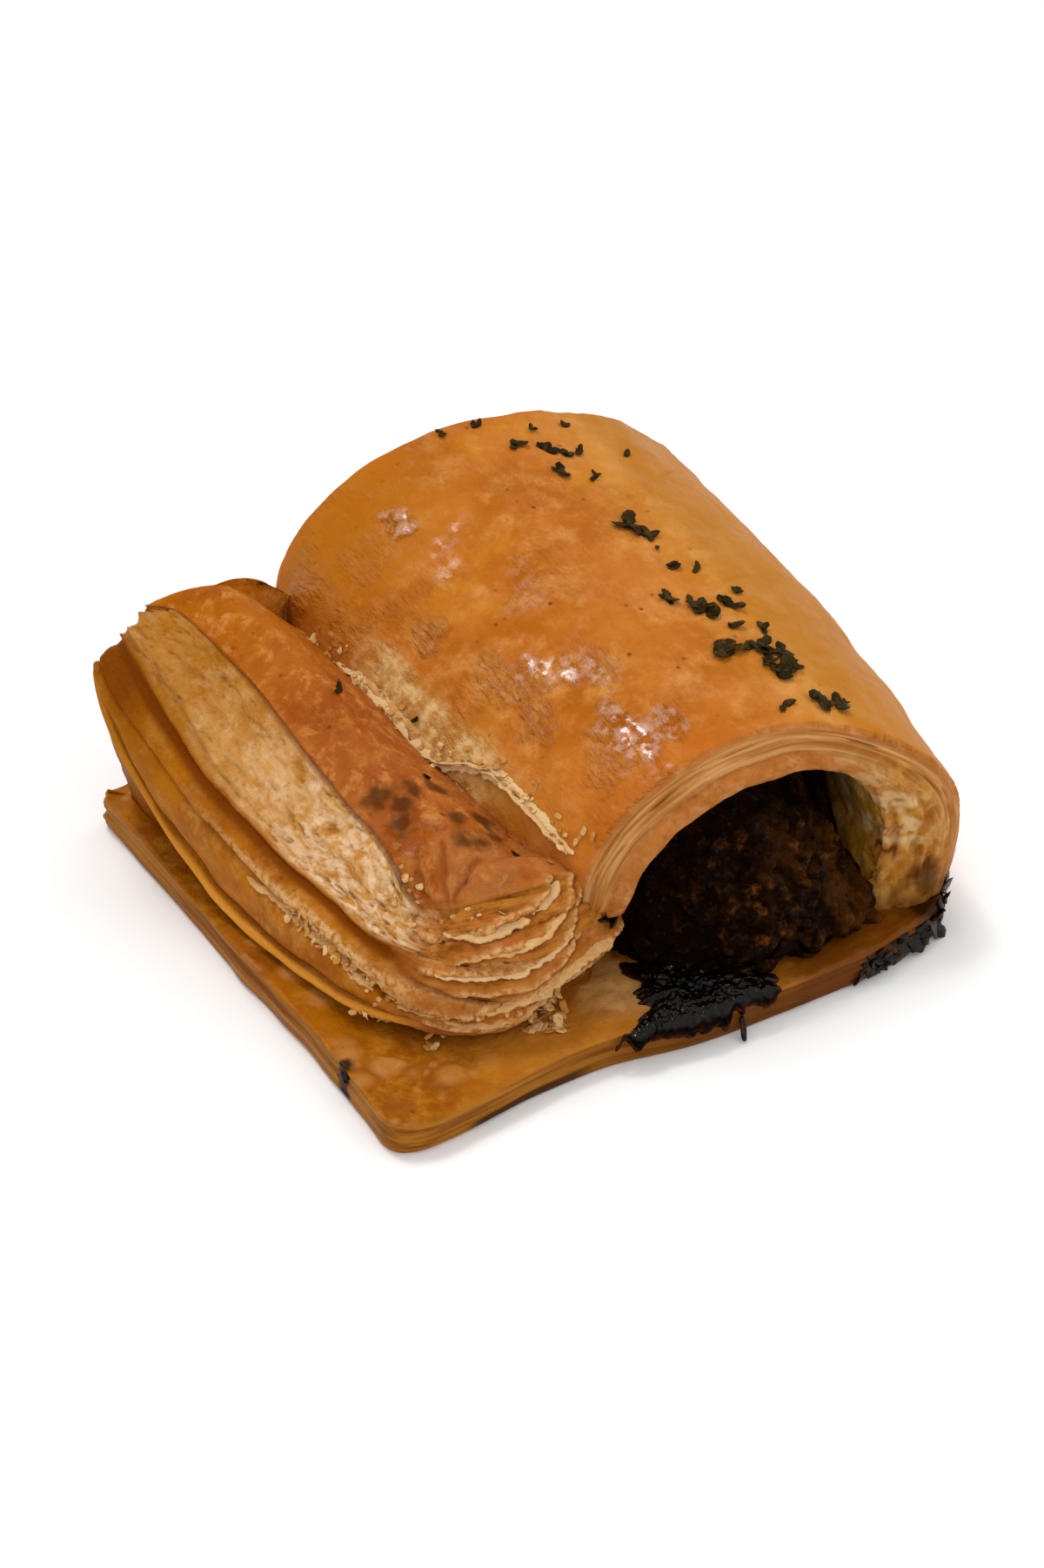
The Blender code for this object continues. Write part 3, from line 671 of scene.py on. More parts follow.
# Painted shade in the bubble holes.
colour = tint(tree, sums(tree, "MULTIPLY", mark(tree, "bubble_shade"), 0.55), colour, (0.30, 0.11, 0.008))
colour = tint(tree, sums(tree, "MULTIPLY", mark(tree, "scorch"), 0.88), colour, (0.07, 0.018, 0.002))
tree.links.new(colour, shader.inputs["Base Color"])
wet = sums(tree, "MULTIPLY", mark(tree, "glaze"), fade(tree, grain(tree, place, 1.6, 4.0), 0.40, 0.60))
rough = node(tree, "ShaderNodeMapRange", {0: wet, 1: 0.0, 2: 1.0, 3: 0.47, 4: 0.16})
tree.links.new(rough.outputs[0], shader.inputs["Roughness"])
tree.links.new(sums(tree, "MULTIPLY", wet, 0.75), shader.inputs["Coat Weight"])
drawn = node(tree, "ShaderNodeMapping", {"Vector": place, "Scale": (1.7, 0.55, 1.0)}).outputs[0]
ripple = sums(tree, "MULTIPLY", grain(tree, drawn, 1.1, 3.0, 0.55, 0.5), sums(tree, "ADD", mark(tree, "glaze"), 0.12))
bump(tree, shader, [(ripple, 4.6), (grain(tree, place, 0.4, 3.0), 0.35), (grain(tree, place, 3.5, 4.0), 1.1),
                    (sums(tree, "MULTIPLY", lines.outputs["Height"], mark(tree, "strata")), 0.8)], 0.00032)
crust.data.materials.append(crust_finish)
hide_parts("pastry")
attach(crust, "root")


# ------------------------------------------------------------------------------------------------
# The meat: a log of minced pork and spice that has browned almost black at its cut ends, drawn back
# a little from the crust. It is moulded to the tunnel, and its grains stand out at the ends.

WALL = (4.6, 6.5)
MEAT_FIT = 0.9
MEAT_FRONT = -28.0
MEAT_BACK = 35.5
MEAT_BULGE = -43.2  # how far forward the front end swells, low down over the front edge
MEAT_FLOOR = 5.3
MEAT_AROUND = 300
FACE_ROWS = 72
LOG_ROWS = 26
SHRINK = 4.5  # the meat has drawn in from the crust this much at its front end
SHRINK_LENGTH = 20.0
CLEAR = 8.5  # and this much more from the thick right foot of the crust

meat_rows = FACE_ROWS + LOG_ROWS + 60
meat, u, row = rolled_out("meat", MEAT_AROUND, meat_rows)
fine = np.concatenate([np.linspace(0.0, 0.26, 15)[:-1], np.linspace(0.26, 0.8, 6), np.linspace(0.83, 1.0, 6)])
log_at = np.clip((row - FACE_ROWS) / (LOG_ROWS - 1), 0, 1)
log_at = np.interp(log_at, np.linspace(0, 1, len(fine)), fine)
front_face = np.clip(row / FACE_ROWS, 0, 1)
back_face = np.clip((meat_rows - 1 - row) / 60.0, 0, 1)
y = mix(MEAT_FRONT, MEAT_BACK, log_at)
t = np.clip((y + 34.0) / 76.0, 0, 1)
OVER = 0.70  # share of the outline that is the arch; the rest is the flat floor
draw = SHRINK * (1 - between(y - MEAT_FRONT, 0.0, SHRINK_LENGTH)) + 1.5 * (1 - between(MEAT_BACK - y, 0.0, 10.0))
inset = pair(WALL, t) + MEAT_FIT + draw * (0.45 + 0.55 * between(u, 0.30, 0.62))
inset = inset + CLEAR * between(u, 0.45, 0.18) * (1 - between(y - MEAT_FRONT, 6.0, 26.0)) * (u < OVER)
arch_x, arch_z = arch(t, mix(0.012, 0.985, np.clip(u / OVER, 0, 1)), inset)
floor_f = np.clip((u - OVER) / (1 - OVER), 0, 1)
right_x, _ = arch(t, np.full(len(t), 0.012), inset + CLEAR * (1 - between(y - MEAT_FRONT, 6.0, 26.0)) * (u >= OVER))
left_x, _ = arch(t, np.full(len(t), 0.985), inset)
x = np.where(u < OVER, arch_x, mix(left_x, right_x, floor_f))
z = np.where(u < OVER, np.maximum(arch_z, MEAT_FLOOR), MEAT_FLOOR)
middle_x = (left_x + right_x) / 2 + 1.5
middle_z = np.where(row < FACE_ROWS, 9.5, 0.42 * (pair(CREST_Z, t) - 5) + 2.0)
share = np.where(row < FACE_ROWS, front_face, np.where(row >= FACE_ROWS + LOG_ROWS, back_face, 1.0))
round_off = np.sqrt(np.clip(1 - share ** 2.6, 0, 1))
# The front end's rim lies back under the lip and comes forward to the right and round the foot
forward = between(x, 4.0, 30.0) * (4.5 + 7.0 * between(z, 16.0, 6.0)) + 7.0 * np.sin(pi * floor_f) * (u > OVER)
near_front = 1 - between(y - MEAT_FRONT, 0.0, 22.0)
y = y - forward * near_front
x = mix(middle_x, x, share)
z = mix(middle_z, z, share)
y = np.where(row < FACE_ROWS, mix(MEAT_BULGE, y, share ** 2.4), y)
y = y + np.where(row >= FACE_ROWS + LOG_ROWS, 3.0 * round_off, 0)
mould(meat, np.column_stack([x, y, z]))
p, facing = surface(meat)
at_end = np.maximum(between(p[:, 1], -12.0, -20.0), between(p[:, 1], 26.0, 31.0))
big, big_gap, big_own = lumps(p + 1.3 * np.column_stack([swells(p, 2.2, 61 + k, 2) for k in range(3)]), 4.4, 62)
mid, mid_gap, mid_own = lumps(p + 0.8 * np.column_stack([swells(p, 1.3, 163 + k, 2) for k in range(3)]), 2.0, 64)
lift = 2.0 * (between(big, 0.05, 0.9) - 0.5) * (0.4 + big_own) + 0.8 * (between(mid, 0.1, 0.8) - 0.5) * (0.2 + mid_own)
lift += 1.0 * swells(p, 9.0, 66, 2) + 0.25 * swells(p, 0.9, 67, 1)
raise_by(meat, lift * (0.15 + 0.85 * at_end))
note(meat, "morsel", mid_own)
note(meat, "hump", between(mid, 0.25, 0.8) * (0.4 + 0.6 * between(big, 0.2, 0.7)))
note(meat, "big", big_own)
# Orange-brown patches towards the right: browned meat, and painted light on the side of the meat that the light
# reaches.
note(meat, "warm_and_lit", between(p[:, 0] + 4.0 * swells(p, 5.0, 68, 2), 8.0, 30.0) * between(swells(p, 4.0, 69, 2), -0.3, 0.3))
# Black towards the left and over the top: charred meat, and painted shade where the arch and lip of the crust shade the
# meat.
note(meat, "blackened", np.maximum(between(p[:, 0] + 3.0 * swells(p, 5.0, 60, 2), 14.0, 5.0), between(p[:, 2], 22.0, 29.0)))

meat_finish, tree, shader, place = finish("browned minced meat", 0.5, 0.06, 0.12, 0.12)
black = (0.005, 0.0014, 0.0005)
colour = tint(tree, fade(tree, mark(tree, "hump"), 0.2, 0.9), black, (0.026, 0.0075, 0.0010))
broken = fade(tree, grain(tree, place, 0.9, 4.0), 0.40, 0.58)
bits = sums(tree, "MULTIPLY", fade(tree, mark(tree, "morsel"), 0.50, 0.90), mark(tree, "hump"))
colour = tint(tree, sums(tree, "MULTIPLY", bits, broken), colour, (0.17, 0.050, 0.005))
# Browned patches, with painted light on the right side.
colour = tint(tree, sums(tree, "MULTIPLY", mark(tree, "warm_and_lit"), 0.55), colour, (0.085, 0.026, 0.003))
# Char, with painted shade on the left and top.
colour = tint(tree, sums(tree, "MULTIPLY", mark(tree, "blackened"), 0.8), colour, black)
char = fade(tree, grain(tree, place, 5.0, 3.0), 0.46, 0.60)
colour = tint(tree, sums(tree, "MULTIPLY", char, 0.75), colour, black)
fat = fade(tree, grain(tree, place, 1.4, 4.0), 0.60, 0.74)
colour = tint(tree, sums(tree, "MULTIPLY", fat, 0.4), colour, (0.10, 0.030, 0.003))
tree.links.new(colour, shader.inputs["Base Color"])
tree.links.new(sums(tree, "MULTIPLY", fade(tree, grain(tree, place, 1.3, 3.0), 0.56, 0.66), 0.12),
               shader.inputs["Coat Weight"])
rough = node(tree, "ShaderNodeMapRange", {0: grain(tree, place, 1.6, 3.0), 1: 0.38, 2: 0.66, 3: 0.18, 4: 0.65})
tree.links.new(rough.outputs[0], shader.inputs["Roughness"])
bump(tree, shader, [(grain(tree, place, 0.7, 4.0), 1.0), (grain(tree, place, 0.25, 2.0), 0.3)], 0.0009)
meat.data.materials.append(meat_finish)
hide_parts("filling")
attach(meat, "root")


# ------------------------------------------------------------------------------------------------
# The flap: the free edge of the sheet, laid down beside the meat. Its skin is browned redder than the
# dome's. Below the skin's edge the pale inside has torn open, and under that the layers stand out from
# the side like the pages of a book, then run on round the nose at its front end.

# Round the flap, by corner number: the back cut is 0 to 3, the open left side 3 to 7.5, the nose 7.5 to
# 11, and the rest is down inside the dome. The first outline is the lowest leaf's, the second the skin's.
FLAP_PLAN = [(-9, 38), (-26, 41.2), (-41, 42), (-49.2, 38.5), (-47.6, 24), (-45.6, 8), (-43.5, -8),
             (-40, -22), (-32, -31.5), (-21.5, -35.8), (-11, -33.5), (-2.5, -29), (0, -8), (-5, 18)]
SKIN_PLAN = [(-9.5, 36.5), (-26, 39.8), (-38.5, 41), (-36.8, 35.5), (-34.5, 24), (-33.2, 9), (-31.8, -7),
             (-30.8, -17.5), (-27, -26), (-19, -28.5), (-11.5, -28.8), (-8.5, -26.5), (-8, -8), (-9, 18)]
CORNERS = len(FLAP_PLAN)
RIDGE = [(-22.5, -25, 27.8), (-23.5, -15, 31.0), (-25, -5, 33.2), (-26, 5, 35.4), (-27.5, 15, 38.6), (-29, 25, 41.2),
         (-31, 36, 42.8)]
VALLEY_Z = (22.5, 24.0, 27.0)
# The edges of the layers from the bottom up: (corner number, way in from the first outline to the
# second, height), then how deep the groove along it is on the side and on the nose
EDGES = {
    "foot": ([(0.6, 0.3, 5.4), (2, 0.3, 5.4), (3, 0.45, 5.4), (7, 0.5, 5.4), (9, 0.5, 5.4), (11, 0.6, 5.4)], 0.0, 0.0),
    "lowest leaf": ([(0.6, 0, 9), (1.3, 0, 13), (2.1, 0, 22), (2.6, 0, 29), (2.95, 0, 31.4), (3.2, 0, 26), (3.5, 0, 20.5),
                     (4, 0, 13.6), (4.3, 0, 10.9), (4.6, 0, 9.2), (4.9, 0, 7.3), (5.3, 0, 6.7), (6.4, 0, 7.1),
                     (7.1, 0, 7.5), (7.4, 0, 8.2), (7.9, 0, 6.7), (8.7, 0.02, 7.4), (9.1, 0.12, 8.0), (9.6, 0.5, 7.5),
                     (11, 0.7, 7.0)], 0.2, 0.0),
    "second leaf": ([(0.6, 0.1, 11), (1.3, 0.1, 15), (2.1, 0.1, 23.6), (2.6, 0.08, 30.2), (2.95, 0.08, 32.6),
                     (3.45, 0.08, 23.2), (4, 0.08, 15.4), (4.5, 0.08, 11.6), (4.85, 0.08, 9.3), (5.2, 0.08, 8.5),
                     (5.8, 0.08, 8.4), (6.5, 0.08, 9.3), (7.1, 0.06, 9.4), (7.5, 0.02, 9.4), (8.3, 0.0, 8.6),
                     (9.1, 0.12, 9.2), (9.6, 0.5, 8.8), (11, 0.7, 8.2)], 0.8, 0.1),
    "third leaf": ([(0.6, 0.12, 14), (1.3, 0.12, 19), (2.1, 0.12, 27.3), (2.6, 0.1, 32.4), (3, 0.1, 33.6),
                    (3.45, 0.1, 28.3), (3.75, 0.1, 25.2), (4.2, 0.1, 21.8), (4.55, 0.1, 20.2), (5.0, 0.1, 18.4),
                    (5.3, 0.1, 17.2), (5.65, 0.1, 16.3), (6.1, 0.1, 15.9), (6.5, 0.1, 15.6), (6.8, 0.1, 14.6),
                    (7.05, 0.09, 12.6), (7.3, 0.06, 11.2), (7.9, 0.05, 10.6), (8.7, 0.08, 10.2), (9.1, 0.2, 10.0),
                    (9.6, 0.55, 10.0), (11, 0.7, 10.0)], 0.9, 0.5),
    "groove": ([(0.6, 0.2, 16), (1.3, 0.2, 21), (2.1, 0.2, 29), (2.6, 0.2, 33.8), (3, 0.2, 35), (3.45, 0.2, 29.6),
                (3.7, 0.2, 26.6), (4.2, 0.2, 22.9), (4.55, 0.2, 21.9), (5, 0.2, 20.5), (5.5, 0.2, 19.2), (6.1, 0.2, 18.9),
                (6.6, 0.18, 18.1), (7.1, 0.15, 17.0), (7.4, 0.12, 16.0), (7.8, 0.1, 15.4), (8.2, 0.08, 13.9),
                (8.55, 0.06, 12.4), (9, 0.06, 11.7), (9.3, 0.05, 11.9), (9.6, 0.03, 12.9), (10.3, 0.0, 13.2),
                (11, 0.0, 13.4)], 0.0, 0.9),
    "face": ([(0.6, 0.35, 20), (1.3, 0.35, 26), (2.1, 0.35, 32), (2.6, 0.33, 35.7), (3, 0.33, 37.2), (3.5, 0.35, 33.6),
              (3.7, 0.35, 30.6), (4, 0.35, 26.6), (4.3, 0.36, 23.6), (4.6, 0.36, 22.4), (5.07, 0.36, 21.9), (5.6, 0.36, 20.6),
              (6.4, 0.35, 20.2), (7, 0.32, 19.4), (7.5, 0.28, 19.0), (7.9, 0.26, 18.6), (8.3, 0.25, 17.8), (8.8, 0.25, 17.9),
              (9.4, 0.22, 17.6), (10, 0.2, 17.2), (11, 0.2, 16.6)], 0.1, 0.3),
    "fold": ([(0.6, 0.6, 24), (1.3, 0.6, 31), (2.1, 0.6, 35.5), (2.6, 0.6, 37.6), (3, 0.62, 38.6), (3.5, 0.65, 36.6),
              (3.87, 0.66, 33.0), (4.3, 0.66, 29.8), (4.65, 0.66, 27.8), (5, 0.66, 25.6), (5.5, 0.66, 24.0), (6.3, 0.66, 23.2),
              (7.0, 0.62, 22.0), (7.5, 0.58, 20.2), (7.8, 0.56, 20.0), (8.1, 0.55, 21.3), (8.5, 0.55, 21.9), (9.1, 0.55, 21.6),
              (9.6, 0.55, 21.5), (10.3, 0.5, 20.8), (11, 0.5, 20.0)], 0.15, 0.9),
    "skin": ([(0.6, 1, 30), (1.3, 1, 36), (2.1, 1, 38.6), (2.6, 1, 39.5), (3, 1, 40), (3.5, 1, 39.5), (4, 1, 37.8),
              (4.5, 1, 36), (5, 1, 33.3), (5.4, 1, 31.2), (5.9, 1, 29.2), (6.4, 1, 29.0), (6.8, 1, 26.8), (7.1, 1, 23.6),
              (7.35, 1, 21.6), (7.7, 1, 22.6), (8.05, 1, 23.9), (8.5, 1, 24.8), (9.2, 1, 25.0), (10, 1, 24.6),
              (11, 1, 24.0)], 0.7, 0.5),
}
# How far each layer swells out between its edges, on the side and on the nose, and its rows
LAYERS = [(0.0, 0.0, 20), (0.5, 0.3, 8), (0.9, 0.4, 24), (0.45, 0.7, 11), (-1.0, 0.8, 14), (0.2, 0.7, 20), (-0.5, 0.5, 26)]
SKIN_FOLD = 0.45  # the skin's edge turns out this much over the face
CAP_STEPS, LONG_STEPS, NOSE_STEPS = 96, 165, 150
TOP_ROWS = 44


# Where the skin is pinched together at its front left corner, and the far ends of the creases from it
PINCH = (-28.6, -26.6)
PINCH_CREASES = [(-24.5, -18.5), (-28.5, -17.5), (-21.0, -23.0), (-31.5, -21.0), (-31.5, -29.5), (-26.0, -31.0)]
# Torn edges of the shells curled over on the nose: how far each stands out, then its line, across and up
SHELLS = [
    (0.9, (-31, 20.2), (-27, 21.6), (-22, 22.6), (-18, 22.8), (-14.5, 23.8), (-12.2, 25.6)),
    (0.8, (-29, 18.8), (-24, 19.8), (-19, 19.5), (-14.5, 20.4), (-11, 22.6), (-9.4, 25.2)),
    (0.9, (-33.5, 17.4), (-28, 16.8), (-22, 16.4), (-16, 17.3), (-12, 19.4), (-9.6, 22.0)),
    (0.7, (-31, 14.8), (-26, 14.2), (-20, 13.9), (-15, 15.2), (-11, 17.4)),
    (1.1, (-35.5, 11.8), (-30, 11.2), (-25, 11.8), (-20, 12.2), (-15, 13.0), (-9, 14.0), (-4, 14.6)),
    (0.8, (-34, 9.3), (-28, 8.5), (-22, 8.9), (-15, 10.0), (-8, 11.2), (-4, 11.8)),
]


def beside(points, line):
    """Distance of each point from the line of corners, positive on its left."""
    best = np.full(len(points), 1e9)
    for a, b in zip(line[:-1], line[1:]):
        step = b - a
        f = np.clip((points - a) @ step / (step @ step), 0, 1)
        off = points - a - f[:, None] * step
        away = np.hypot(*off.T)
        side = np.where(step[0] * off[:, 1] - step[1] * off[:, 0] >= 0, 1.0, -1.0)
        best = np.where(away < np.abs(best), side * away, best)
    return best


def eased(places, s, width=0.12):
    """Joins up the values given at those places without corners."""
    at, *values = zip(*places)
    return [np.mean([np.interp(s + d, at, v) for d in np.linspace(-width, width, 5)], axis=0) for v in values]


# Steps round the outline: as many down the open side as up inside the dome, so that the two sides of
# the skin meet point to point on its ridge
side_s = np.linspace(2.5, 7.55, LONG_STEPS + 1)
nose_s = np.linspace(7.55, 11.15, NOSE_STEPS + 1)
dome_s = np.linspace(11.15, 14.2, LONG_STEPS + 1)
back_s = np.linspace(0.2, 2.5, CAP_STEPS + 1)
ring_s = np.concatenate([back_s[:-1], side_s[:-1], nose_s[:-1], dome_s])
along = np.linspace(0.0, 1.0, LONG_STEPS + 1)
ring_ridge = np.concatenate([np.zeros(CAP_STEPS), along[:-1], np.ones(NOSE_STEPS), along[::-1]])

layer_rows = np.concatenate([i + np.arange(n) / n for i, (_, _, n) in enumerate(LAYERS)] + [[len(LAYERS)]])
flap, share_round, row = rolled_out("flap", len(ring_s) - 1, len(layer_rows) + TOP_ROWS)
column = np.rint(share_round * (len(ring_s) - 1)).astype(int)
s = ring_s[column]
level = layer_rows[np.minimum(row, len(layer_rows) - 1)]
top_at = np.clip((row - len(layer_rows) + 1) / TOP_ROWS, 0, 1)
opened = between(s, 0.25, 1.2) * (1 - between(s, 11.05, 11.5))
nose = between(s, 7.15, 7.7)
outer_xy = closed_curve(FLAP_PLAN, s / CORNERS)
skin_xy = closed_curve(SKIN_PLAN, s / CORNERS)
valley = np.interp(outer_xy[:, 1], (-30.0, 5.0, 41.0), VALLEY_Z)
way_in, height, swell, groove_in = (np.zeros(len(s)) for _ in range(4))
for i, (name, (places, side_groove, nose_groove)) in enumerate(EDGES.items()):
    way, z = eased(places, s)
    near = np.clip(1 - np.abs(level - i), 0, 1)  # 1 on this edge, 0 from the next ones on
    way_in += near * way
    height += near * mix(2.6 + (valley - 2.6) * i / len(LAYERS), z, opened)
    rows_near = LAYERS[min(i, len(LAYERS) - 1)][2]
    groove_in += mix(side_groove, nose_groove * (name != "skin"), nose) * np.exp(-((level - i) * rows_near / 1.6) ** 2)
for i, (side_swell, nose_swell, _) in enumerate(LAYERS):
    f = np.clip(level - i, 0, 1)
    swell += mix(side_swell, nose_swell, nose) * 4 * f * (1 - f)
inwards = (skin_xy - outer_xy)
inwards /= np.maximum(np.linalg.norm(inwards, axis=1), 1.0)[:, None]
run = s * 18.0
wander = swells(np.column_stack([run, level * 4.0, 0 * s]), (14.0, 3.0, 9.0), 70, 2)
ragged = swells(np.column_stack([run, 0 * s, 0 * s]), 1.5, 69, 3) * between(s, 5.6, 6.6) * np.exp(-((level - 3.1) / 0.4) ** 2)
height = height + opened * (0.45 * wander * between(level, 0.6, 1.5) * (1 - between(level, 6.0, 7.0)) + 0.8 * ragged)
step_in = opened * (groove_in - swell + 0.35 * wander) * (1 - top_at)
xy = mix(outer_xy, skin_xy, mix(0.3, way_in, opened)[:, None]) + inwards * step_in[:, None]
ridge_at = ring_ridge[column]
ridge = np.array(RIDGE[::-1], float)
places = [(k / (len(ridge) - 1), *point) for k, point in enumerate(ridge)]
ridge_x, ridge_y, ridge_z = eased(places, ridge_at, 0.05)
up_the_top = np.where(s > 11.15, smooth(top_at) ** 1.5, np.sin(pi / 2 * top_at))
points = np.column_stack([mix(xy[:, 0], ridge_x, top_at), mix(xy[:, 1], ridge_y, top_at),
                          height + (ridge_z - height) * up_the_top])
fold_out = SKIN_FOLD * opened * (1 - nose) * np.where(level >= len(LAYERS), np.exp(-(top_at * TOP_ROWS / 3.0) ** 2), 0)
points[:, :2] -= inwards * fold_out[:, None]
mould(flap, points, lay=np.column_stack([run, level * 4.0, top_at * 30.0]) * MM, level=level, top=top_at, around=s)

p, facing = surface(flap)
level, top_at, s = (noted(flap, n) for n in ("level", "top", "around"))
lay = noted(flap, "lay") / MM
on_skin = np.where((level >= len(LAYERS)) & (top_at > 0.0), 1.0, 0.0)
nose = between(s, 7.15, 7.9)
opened = between(s, 0.25, 1.2) * (1 - between(s, 11.05, 11.5)) * (1 - on_skin)
face = between(level, 5.0, 5.3) * opened
sheets = between(level, 1.05, 1.4) * opened
rows_lay = np.column_stack([lay[:, 0], lay[:, 1], 0 * s])
bands = swells(rows_lay, (22.0, 1.5, 9.0), 71, 2)
thin = swells(rows_lay, (8.0, 0.55, 9.0), 72, 2)
warped = rows_lay + 1.2 * np.column_stack([swells(p, 3.0, 85 + k, 2) for k in range(3)])
creases = between(np.abs(swells(warped, (15.0, 1.3, 9.0), 73, 2)), 0.14, 0.0)
holes = between(swells(rows_lay, (2.6, 0.5, 9.0), 88, 3), 0.30, 0.62)
pits = np.clip(0.4 * creases + holes * (0.4 + 0.6 * between(p[:, 1], 22.0, -10.0)), 0, 1) * face * (1 - 0.5 * nose)
crumbly = between(p[:, 1], 22.0, -10.0)
crumbs_up = 0.6 * swells(rows_lay, (3.0, 0.45, 9.0), 74, 3) + 0.5 * swells(p, 1.3, 74, 2)
lift = 0.0
lift += face * (1 - nose) * (0.95 * bands + 0.55 * crumbs_up * (0.3 + 0.7 * crumbly)) - 0.75 * pits
lift += (sheets * (0.12 + 0.25 * nose) + face * (0.10 + 0.15 * crumbly)) * thin
lift += sheets * nose * (0.45 * bands + 0.22 * swells(p, 2.2, 75, 2)) + sheets * (1 - face) * 0.25 * swells(p, 5.0, 77, 2)
lift += opened * (1 - between(level, 0.9, 1.0)) * 0.5 * swells(rows_lay, (16.0, 0.5, 9.0), 76, 2)
calm = between(top_at, 0.0, 0.10)
in_front = between(s, 7.2, 7.8) * (1 - between(s, 10.9, 11.3)) * between(-facing[:, 1], 0.15, 0.5) * between(top_at, 0.2, 0.05)
shell_edge, shell_shade = np.zeros(len(p)), np.zeros(len(p))
creasing = np.zeros(len(p))
for end in PINCH_CREASES:
    away = np.abs(beside(p[:, :2] + 1.1 * np.column_stack([swells(p, 3.5, 94 + k, 3) for k in range(2)]), np.array([PINCH, end])))
    creasing = np.maximum(creasing, np.exp(-(away / 0.45) ** 2) * between(p[:, 2], 17.0, 20.0))
lift -= 0.55 * creasing * between(s, 6.6, 7.2)
for height_of, *line in SHELLS:
    line = np.array(line)
    away = beside(p[:, [0, 2]] + 0.35 * np.column_stack([swells(p, 1.6, 90 + k, 3) for k in range(2)]), line)
    lift += in_front * height_of * np.exp(-np.maximum(away, 0) / 1.6) * between(away, -0.22, 0.12)
    shell_edge = np.maximum(shell_edge, in_front * np.exp(-((away - 0.3) / 0.35) ** 2))
    shell_shade = np.maximum(shell_shade, in_front * between(away, -1.1, -0.2) * between(away, 0.05, -0.1))
wrinkles = swells(np.column_stack([p[:, 0] + 0.4 * p[:, 1], p[:, 1], p[:, 2]]), (3.0, 12.0, 5.0), 81, 2)
lift += on_skin * (0.10 * swells(p, 2.0, 78, 2) + 0.35 * swells(p, 8.0, 79, 2) * calm + 0.35 * swells(p, 15.0, 80, 1))
lift += on_skin * calm * 0.35 * wrinkles * between(p[:, 1], 8.0, -20.0)
raise_by(flap, lift)
p, facing = surface(flap)
worn = nose * between(top_at + 0.34 * swells(p, 3.4, 92, 3), 0.28 + 0.12 * between(s, 8.6, 9.6), 0.02)
note(flap, "skin", on_skin * (1 - worn))
# The skin's own darker edge, and painted shade in the thin band just under the turned-out skin edge.
note(flap, "edge", (on_skin * (1 - between(top_at, 0.0, 0.03)) + opened * between(level, 6.86, 6.97)) * (1 - nose))
# Painted shade in the pits and creases of the torn pale face.
note(flap, "pit_shade", pits)
note(flap, "face", face)
note(flap, "nose", nose)
note(flap, "crumbly", crumbly)
note(flap, "back_bake", between(p[:, 1], 6.0, 36.0))
note(flap, "glaze", on_skin * between(p[:, 1], 0.0, -18.0) * between(swells(p, (5.0, 4.0, 5.0), 83, 2), 0.0, 0.3))
# Painted shade in the notches at the second and third leaves' edges, in the slits on the nose, under the lowest leaf
# and beneath the shell edges; the groove's brown and the pinched brown layer ends at the back corner are their own
# colour.
dark = np.exp(-((level - 2.0) / 0.12) ** 2) * (1 - 0.6 * nose) + np.exp(-((level - 3.0) / 0.07) ** 2) * 0.8
dark += between(level, 4.0, 4.35) * (1 - between(level, 4.7, 5.15)) * (1 - nose)
dark += nose * (np.exp(-((level - 4.0) / 0.10) ** 2) * between(s, 9.0, 8.5) + 0.8 * np.exp(-((level - 6.0) / 0.06) ** 2))
dark += 0.7 * (1 - between(level, 0.8, 1.0))
pinched = between(s, 3.75, 3.35) * between(s, 2.4, 2.8) * between(level, 2.4, 3.4) * (1 - between(level, 4.7, 5.6))
note(flap, "dark", np.maximum(np.clip(np.maximum(dark, 0.85 * pinched), 0, 1) * opened, 0.8 * shell_shade))
crisp = between(level, 3.0, 3.15) * (1 - between(level, 3.7, 4.0)) * between(s, 3.8, 6.5) * (1 - nose)
crisp += nose * (np.exp(-((level - 4.12) / 0.16) ** 2) * between(s, 8.5, 9.2) + 0.7 * np.exp(-((level - 5.0) / 0.10) ** 2)
                 + 0.6 * np.exp(-((level - 3.9) / 0.14) ** 2))
note(flap, "crisp", np.maximum(np.clip(crisp, 0, 1) * opened, 0.9 * shell_edge))
note(flap, "bright", between(level, 0.95, 1.1) * (1 - between(level, 1.6, 1.95)) * opened * (1 - nose))
BURNT_SPOTS = [(-28.4, -7.5, 3.0), (-28.0, -13.0, 2.6), (-20.4, -14.9, 2.4), (-19.0, -20.0, 2.8), (-22.0, -19.6, 2.4),
         (-16.2, -18.0, 2.2), (-23.2, -9.1, 2.2), (-19.6, -8.6, 2.4), (-15.6, -14.6, 2.0), (-26.5, -10.5, 2.2)]
burnt = np.zeros(len(p))
for bx, by, size in BURNT_SPOTS:
    away = np.hypot(p[:, 0] - bx, p[:, 1] - by) + 1.2 * swells(p, 1.6, 84, 2)
    burnt = np.maximum(burnt, between(away, size, size * 0.25))
note(flap, "burnt", burnt * on_skin)
# Painted shade in the pinch creases of the skin at its front left corner.
note(flap, "crease_shade", creasing)
note(flap, "fair", (0.35 + 0.65 * between(p[:, 1], -12.0, -22.0)) * between(p[:, 1], 16.0, 0.0)
     * between(swells(p, 5.0, 97, 3), -0.5, 0.3))

